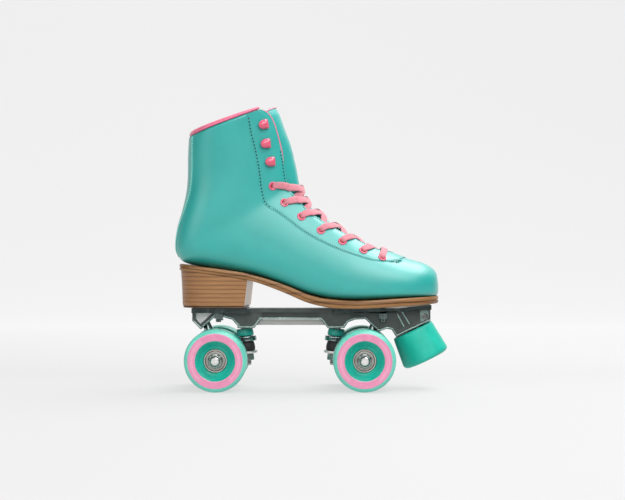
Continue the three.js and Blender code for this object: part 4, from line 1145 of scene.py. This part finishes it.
def make_heel():
    bottom_line = smooth_path(SOLE_BOTTOM, 6)
    rings = []
    for part, grow in HEEL_LEVELS:
        outline = heel_outline(grow, -63.4 + 2.6 * part, -59.4 + 2.6 * part)
        breast = []
        for k in range(1, 10):
            x, y = between(outline[-1], outline[0], k / 10)
            breast.append((x - 1.6 * math.sin(math.pi * k / 10), y))
        rings.append([(x, y, lerp(HEEL_BOTTOM, value_at(bottom_line, x) - 0.25, part))
                      for x, y in outline + breast])
    points, faces = closed_loft(rings)
    piece = make("heel_stack_block", points, faces, [heel_stack, breast_look])
    count = len(rings[0])
    for polygon in piece.data.polygons:
        on_side = polygon.index < (len(rings) - 1) * count
        if on_side and polygon.index % count >= len(outline) - 1:
            polygon.material_index = 1
    face_out(piece)
    sharp_by_angle(piece, 40)
    stand_for("heel_block")

# ---------- wheels ----------
AXLE_TIP = 58.0
AXLE_THREAD_END = 45.0
PRINT_ARC_START = 13.02  # the printed lines leave out what is nearer than this to the wheel's middle


def screw_thread(top, bottom, pitch, crest, root):
    """The zigzag of a thread from the top down, as (radius, height)."""
    profile = []
    height = top
    while height > bottom:
        profile += [(crest, height), (root, height - pitch / 2)]
        height -= pitch
    return profile


def wheel_frame(x, side):
    turn = Matrix.Rotation(-math.pi / 2 * side, 4, "X")
    return Matrix.Translation(Vector((x, side * WHEEL_Y, WHEEL_RADIUS))) @ turn

def make_wheel(end, x, reach, side):
    body = f"{end}_{reach}_wheel"
    place = wheel_frame(x, side)
    w = WHEEL_HALF_WIDTH
    floor = w - BEARING_RECESS
    seat = floor - BEARING_WIDTH - 0.3
    half = [(9, seat), (BEARING_RADIUS, seat), (BEARING_RADIUS, floor - 0.2), (11.3, floor + 0.15),
            (12.4, floor + 0.35), (14.5, floor + 2.0), (16.6, floor + 3.8), (18.2, w - 0.45),
            (18.6, w - 0.12), (19.2, w), (21.1, w), (21.4, w), (22.5, w), (22.8, w), (24.4, w),
            (25.3, w - 0.1), (25.5, w - 0.2), (26.6, w - 0.55), (27.7, w - 1.3), (28.5, w - 2.5),
            (28.9, w - 4.0), (WHEEL_RADIUS, w - 5.5)]
    looks = [wheel_teal, wheel_mint, wheel_deep, print_pink, print_pale]
    tread, lip, core, pink, pale = range(len(looks))
    zone = [core] * 8 + [pink] * 2 + [pale, pink, pale] + [pink] * 2 + [lip] * 5 + [tread]
    zones = zone + [tread] + zone[::-1] + [core]
    flipped = [(r, -h) for r, h in reversed(half)]
    wheel = lathe(f"wheel_{end}_{reach}_cast", half + flipped, place, looks, body, 112, zones)
    for polygon in wheel.data.polygons:
        if polygon.material_index == pale and abs(polygon.center.x / MM - x) < PRINT_ARC_START:
            polygon.material_index = pink  # the printed lines are two arcs, left and right
    stand_for(f"wheel_{end}_{reach}")
    for name, sign in (("outer", 1), ("inner", -1)):
        make_bearing(f"{name}_bearing_{end}_{reach}", place, sign, body)

def make_bearing(node, place, sign, body):
    face = WHEEL_HALF_WIDTH - BEARING_RECESS - 0.1
    back = face - BEARING_WIDTH + 0.2
    profile = [(4.2, back), (10.8, back), (10.8, face - 0.4), (10.5, face), (9.6, face),
               (9.3, face - 0.35), (9.2, face - 0.6), (8.9, face - 0.55), (7.2, face - 0.45),
               (6.6, face - 0.5), (6.4, face - 0.7), (6.2, face - 0.1), (6.0, face), (4.5, face),
               (4.2, face - 0.3)]
    profile = [(r, h * sign) for r, h in profile]
    looks = [bearing_metal, shield_metal, shield_rim]
    race, shield, rim = range(len(looks))
    zones = [race] * 4 + [shield] * 3 + [rim] * 2 + [shield] * 2 + [race] * 4
    piece = lathe(node + "_race", profile, place, looks, body, 64, zones)
    stand_for(node)

def hexagonal(name, flats, levels, bore, place, material, body):
    """A hexagon nut with chamfered ends: levels are (height, part of the full corner radius)."""
    corner = flats / math.sqrt(3)
    inner = flats / 2
    segments = 72
    points = []
    for height, part in levels:
        for k, (c, s) in enumerate(circle(segments)):
            local = (2 * math.pi * k / segments + math.pi / 6) % (math.pi / 3) - math.pi / 6
            r = min(inner / math.cos(local), lerp(inner, corner, part))
            points.append(place @ Vector((r * c, r * s, height)))
    for height in (levels[-1][0], levels[0][0]):
        points += [place @ Vector((bore * c, bore * s, height)) for c, s in circle(segments)]
    faces = grid_faces(len(levels) + 2, segments, wrap_columns=True, wrap_rows=True)
    piece = face_out(make(name, points, faces, material, body))
    sharp_by_angle(piece, 25)
    return piece

def make_axle(end, x):
    body = f"{end}_truck"
    along = Matrix.Translation(Vector((x, 0, WHEEL_RADIUS))) @ Matrix.Rotation(-math.pi / 2, 4, "X")
    half = [(0, AXLE_TIP), (3.2, AXLE_TIP), (3.6, AXLE_TIP - 0.6)]
    half += screw_thread(AXLE_TIP - 1.0, AXLE_THREAD_END, 1.0, 3.95, 3.55)
    half += [(3.95, AXLE_THREAD_END - 1)]
    profile = half + [(r, -h) for r, h in reversed(half)]
    axle = lathe(f"axle_{end}_bar", profile, along, nickel, body, 32, closed=False)
    stand_for(f"axle_{end}")
    start = WHEEL_HALF_WIDTH - BEARING_RECESS + 0.35
    levels = [(start, 0.45), (start + 0.5, 1.0), (start + 4.0, 1.0), (start + 4.7, 0.3), (start + 4.8, 0.0)]
    collar = [(4.05, start + 4.7), (5.3, start + 4.7), (5.4, start + 5.4), (5.0, start + 6.0),
              (4.05, start + 6.0)]
    insert = [(3.95, start + 5.4), (4.9, start + 5.4), (4.9, start + 6.15), (3.95, start + 6.15)]
    for reach, side in (("outer", -1), ("inner", 1)):
        place = wheel_frame(x, side)
        name = f"axle_nut_{end}_{reach}"
        nut = hexagonal(name + "_hex", 12.5, levels, 4.05, place, steel, body)
        stand_for(name)
        lathe(name + "_collar", collar, place, nickel, body, 40)
        lathe(name + "_insert", insert, place, nylon, body, 40)

# ---------- trucks ----------
# Turned profiles as (radius, height above the middle of the kingpin ring)
UPPER_CUSHION = [(4.6, 2.7), (7.4, 2.7), (8.1, 3.4), (8.2, 5.6), (7.9, 7.0), (7.4, 9.4), (4.6, 9.4)]
LOWER_CUSHION = [(4.6, -11.7), (7.6, -11.7), (8.2, -11.0), (8.45, -8.6), (8.3, -6.4), (7.9, -4.4),
                 (7.3, -2.7), (4.6, -2.7)]
CUP_WASHER = [(4.3, -14.2), (9.2, -14.2), (10.2, -13.6), (10.5, -12.4), (10.45, -11.9), (10.1, -11.8),
              (9.9, -12.1), (4.3, -12.1)]
KINGPIN_NUT_LEVELS = [(-20.4, 0.0), (-20.2, 0.6), (-19.6, 1.0), (-15.3, 1.0), (-14.7, 0.5)]


def truck_frame(x, turned):
    turn = Matrix.Rotation(math.pi if turned else 0, 4, "Z")
    return Matrix.Translation(Vector((x, 0, WHEEL_RADIUS))) @ turn

def make_truck(end, x, turned):
    place = truck_frame(x, turned)
    stack = place @ Matrix.Translation(Vector((RING[0], 0, RING[1]))) @ Matrix.Rotation(-KINGPIN_LEAN, 4, "Y")
    hanger = remeshed(f"hanger_{end}", f"hanger_{end}_cast", chrome, 0.6, 5)
    for node, made_of, profile, look, slot in (
            ("upper_cushion", "rubber", UPPER_CUSHION, cushion_teal, "rubber_teal"),
            ("lower_cushion", "rubber", LOWER_CUSHION, black_rubber, "rubber_black"),
            ("cup_washer", "pressed", CUP_WASHER, nickel, "steel")):
        piece = lathe(f"{node}_{end}_{made_of}", profile, stack, look, "root", 64)
        stand_for(f"{node}_{end}")
    nut = hexagonal(f"kingpin_nut_{end}_hex", 13, KINGPIN_NUT_LEVELS, 4.05, stack, steel, "root")
    stand_for(f"kingpin_nut_{end}")
    pin = [(0, 21.4), (3.9, 21.4), (3.9, -14)]
    pin += screw_thread(-14.5, -24, 1.2, 3.95, 3.5)
    pin += [(3.4, -24.6), (2.8, -25), (0, -25)]
    kingpin = lathe(f"kingpin_{end}_bolt", pin, stack, steel, "root", 32, closed=False)
    stand_for(f"kingpin_{end}")
    refined(f"pivot_cup_{end}", f"pivot_cup_{end}_rubber", black_rubber, 0.3)

# ---------- toe stop ----------
def make_toe_stop():
    place = Matrix.Translation(Vector((STOP_TOP[0], 0, STOP_TOP[1]))) @ Matrix.Rotation(-STOP_TILT, 4, "Y")
    top, low, h, bend = STOP_TOP_RADIUS, STOP_LOW_RADIUS, STOP_HEIGHT, 3.9
    profile = [(4.4, -0.2), (top - 2.2, -0.2), (top - 0.9, -0.5), (top - 0.1, -1.5), (top + 0.1, -2.6)]
    profile += [(lerp(top + 0.1, low, k / 8), lerp(-2.6, 4.2 - h, k / 8)) for k in range(1, 9)]
    for k in range(1, 9):
        turn = math.radians(90) * k / 8
        profile.append((low - bend + bend * math.cos(turn), 4.0 - h - bend * math.sin(turn)))
    profile += [(14, -h), (10.3, -h), (10, 0.4 - h), (10, 12 - h), (4.4, 12 - h)]
    piece = lathe("toe_stop_rubber", profile, place, teal_rubber, "root", 96)
    stand_for("toe_stop")
    refined("toe_stop_washer", "toe_stop_washer_steel", steel, 0.3)
    refined("toe_stop_bolt", "toe_stop_bolt_steel", steel, 0.4)

# ---------- plate ----------
def slab(points, y_from, y_to):
    """A side outline of (x, z), thick across Y."""
    count = len(points)
    ring = [(x, y, z) for y in (y_from, y_to) for x, z in points]
    faces = [(k, (k + 1) % count, count + (k + 1) % count, count + k) for k in range(count)]
    faces += [tuple(range(count)), tuple(range(2 * count - 1, count - 1, -1))]
    return ring, faces

def rim_along(path, width, y_from, y_to):
    """A raised rim on the upper side of a path of (x, z), thick across Y."""
    points = []
    for k, (x, z) in enumerate(path):
        before = Vector(path[max(k - 1, 0)])
        after = Vector(path[min(k + 1, len(path) - 1)])
        here = Vector((x, z))
        sides = [Vector((-d.y, d.x)).normalized() for d in (here - before, after - here) if d.length > 0]
        across_path = sum(sides, Vector((0, 0))).normalized()
        reach = width / max(0.6, across_path.dot(sides[0]))
        far_x, far_z = x + across_path.x * reach, z + across_path.y * reach
        points += [(x, y_from, z), (x, y_to, z), (far_x, y_to, far_z), (far_x, y_from, far_z)]
    faces = grid_faces(len(path), 4, wrap_columns=True)
    faces += [(0, 1, 2, 3), tuple(len(points) - 4 + k for k in range(4))]
    return points, faces

# Side outlines of the plate as (x, z): the lower edge of its web, the ribs by the stop, the clamp's lug
WEB_EDGE = [(-112.6, 64.6), (-105, 56.8), (-92.0, 68.7), (-85.5, 68.8), (-75.4, 66.1), (-70, 60), (-70, 58),
            (-54.9, 58), (-49, 66.2), (8.3, 66.2), (14.4, 58), (29.6, 58), (33.2, 63.6), (39.8, 66.1),
            (49.6, 66.6), (62.5, 54.8), (69.6, 57.5), (74.9, 56.5), (78.9, 50), (110.4, 64.9)]
STOP_RIBS = [[(77.6, 73.2), (79.4, 73.2), (87.2, 58.6), (86.4, 56.6)],
             [(83.2, 73.2), (85.0, 73.2), (92.4, 61.0), (91.2, 60.0)]]
CLAMP_LUG = [(101.6, 63.4), (108.4, 66.4), (109.4, 69), (109.2, 73.4), (107.4, 74.4), (102, 74), (101, 72.6)]


def make_plate():
    piece = refined("plate", "skate_plate", chrome, 0.75, 6, 3)
    looks = (cast_panel, cast_painted_shade, cast_painted_highlight)
    panel, dark, bright = range(1, 4)
    for look in looks:
        piece.data.materials.append(look)
    # Side faces by place: plain cast grey on the keel's lower band; painted highlight on the rear web and the
    # band along the flange's top; elsewhere plain cast grey behind x = -60 and painted shade and dark
    # reflection in front of it.
    for polygon in piece.data.polygons:
        x, y, z = polygon.center / MM
        if abs(polygon.normal.y) > 0.9 and abs(y) < FLANGE_SIDE:
            if z < 66 and abs(y) < 9.8 and abs(x) < 60:
                polygon.material_index = panel
            elif abs(y) < 9.8 and x < -60 or z > 73.5 and abs(y) < 12.5:
                polygon.material_index = bright
            else:
                polygon.material_index = panel if x < -60 else dark
    for name, sign in (("outer", -1), ("inner", 1)):
        parts = [slab(rib, sign * 9.2, sign * 12.9) for rib in STOP_RIBS]
        parts.append(rim_along(WEB_EDGE, 1.3, sign * 12.4, sign * 13.7))
        if sign < 0:
            parts.append(slab(CLAMP_LUG, -12.5, -13.2))
        braces = face_out(make(f"plate_ribs_{name}", *joined(parts), rim_metal, smooth=False))
        rounded(braces, 0.4, 3)
    for end in ("rear", "front"):
        for side in ("outer", "inner"):
            bolt = refined(f"mount_bolt_{end}_{side}", f"mount_bolt_{end}_{side}_steel", chrome, 0.35)
    screw = refined("toe_stop_clamp_screw", "toe_stop_clamp_screw_steel", steel, 0.3)


make_camera()
make_studio()
make_upper()
make_eyestay()
make_backstay()
make_stitching()
make_lining()
make_facing_lining()
make_tongue()
make_collar()
make_eyelets("eyelet_row_outer", -1, "eyelets_outer")
make_eyelets("eyelet_row_inner", 1, "eyelets_inner")
make_lace()
for number, station in enumerate(HOOK_STEPS, 1):
    make_hook(f"hook_outer_{number}", station, -1)
    make_hook(f"hook_inner_{number}", station, 1)
refined("insole", "insole_pad", insole_look, 0.8)
make_outsole()
make_heel()
refined("heel_lift", "heel_top_lift", lift_look, 0.3)
for end_name, axle_x in (("rear", REAR_AXLE_X), ("front", FRONT_AXLE_X)):
    make_wheel(end_name, axle_x, "outer", -1)
    make_wheel(end_name, axle_x, "inner", 1)
    make_axle(end_name, axle_x)
    make_truck(end_name, axle_x, end_name == "front")
make_toe_stop()
make_plate()
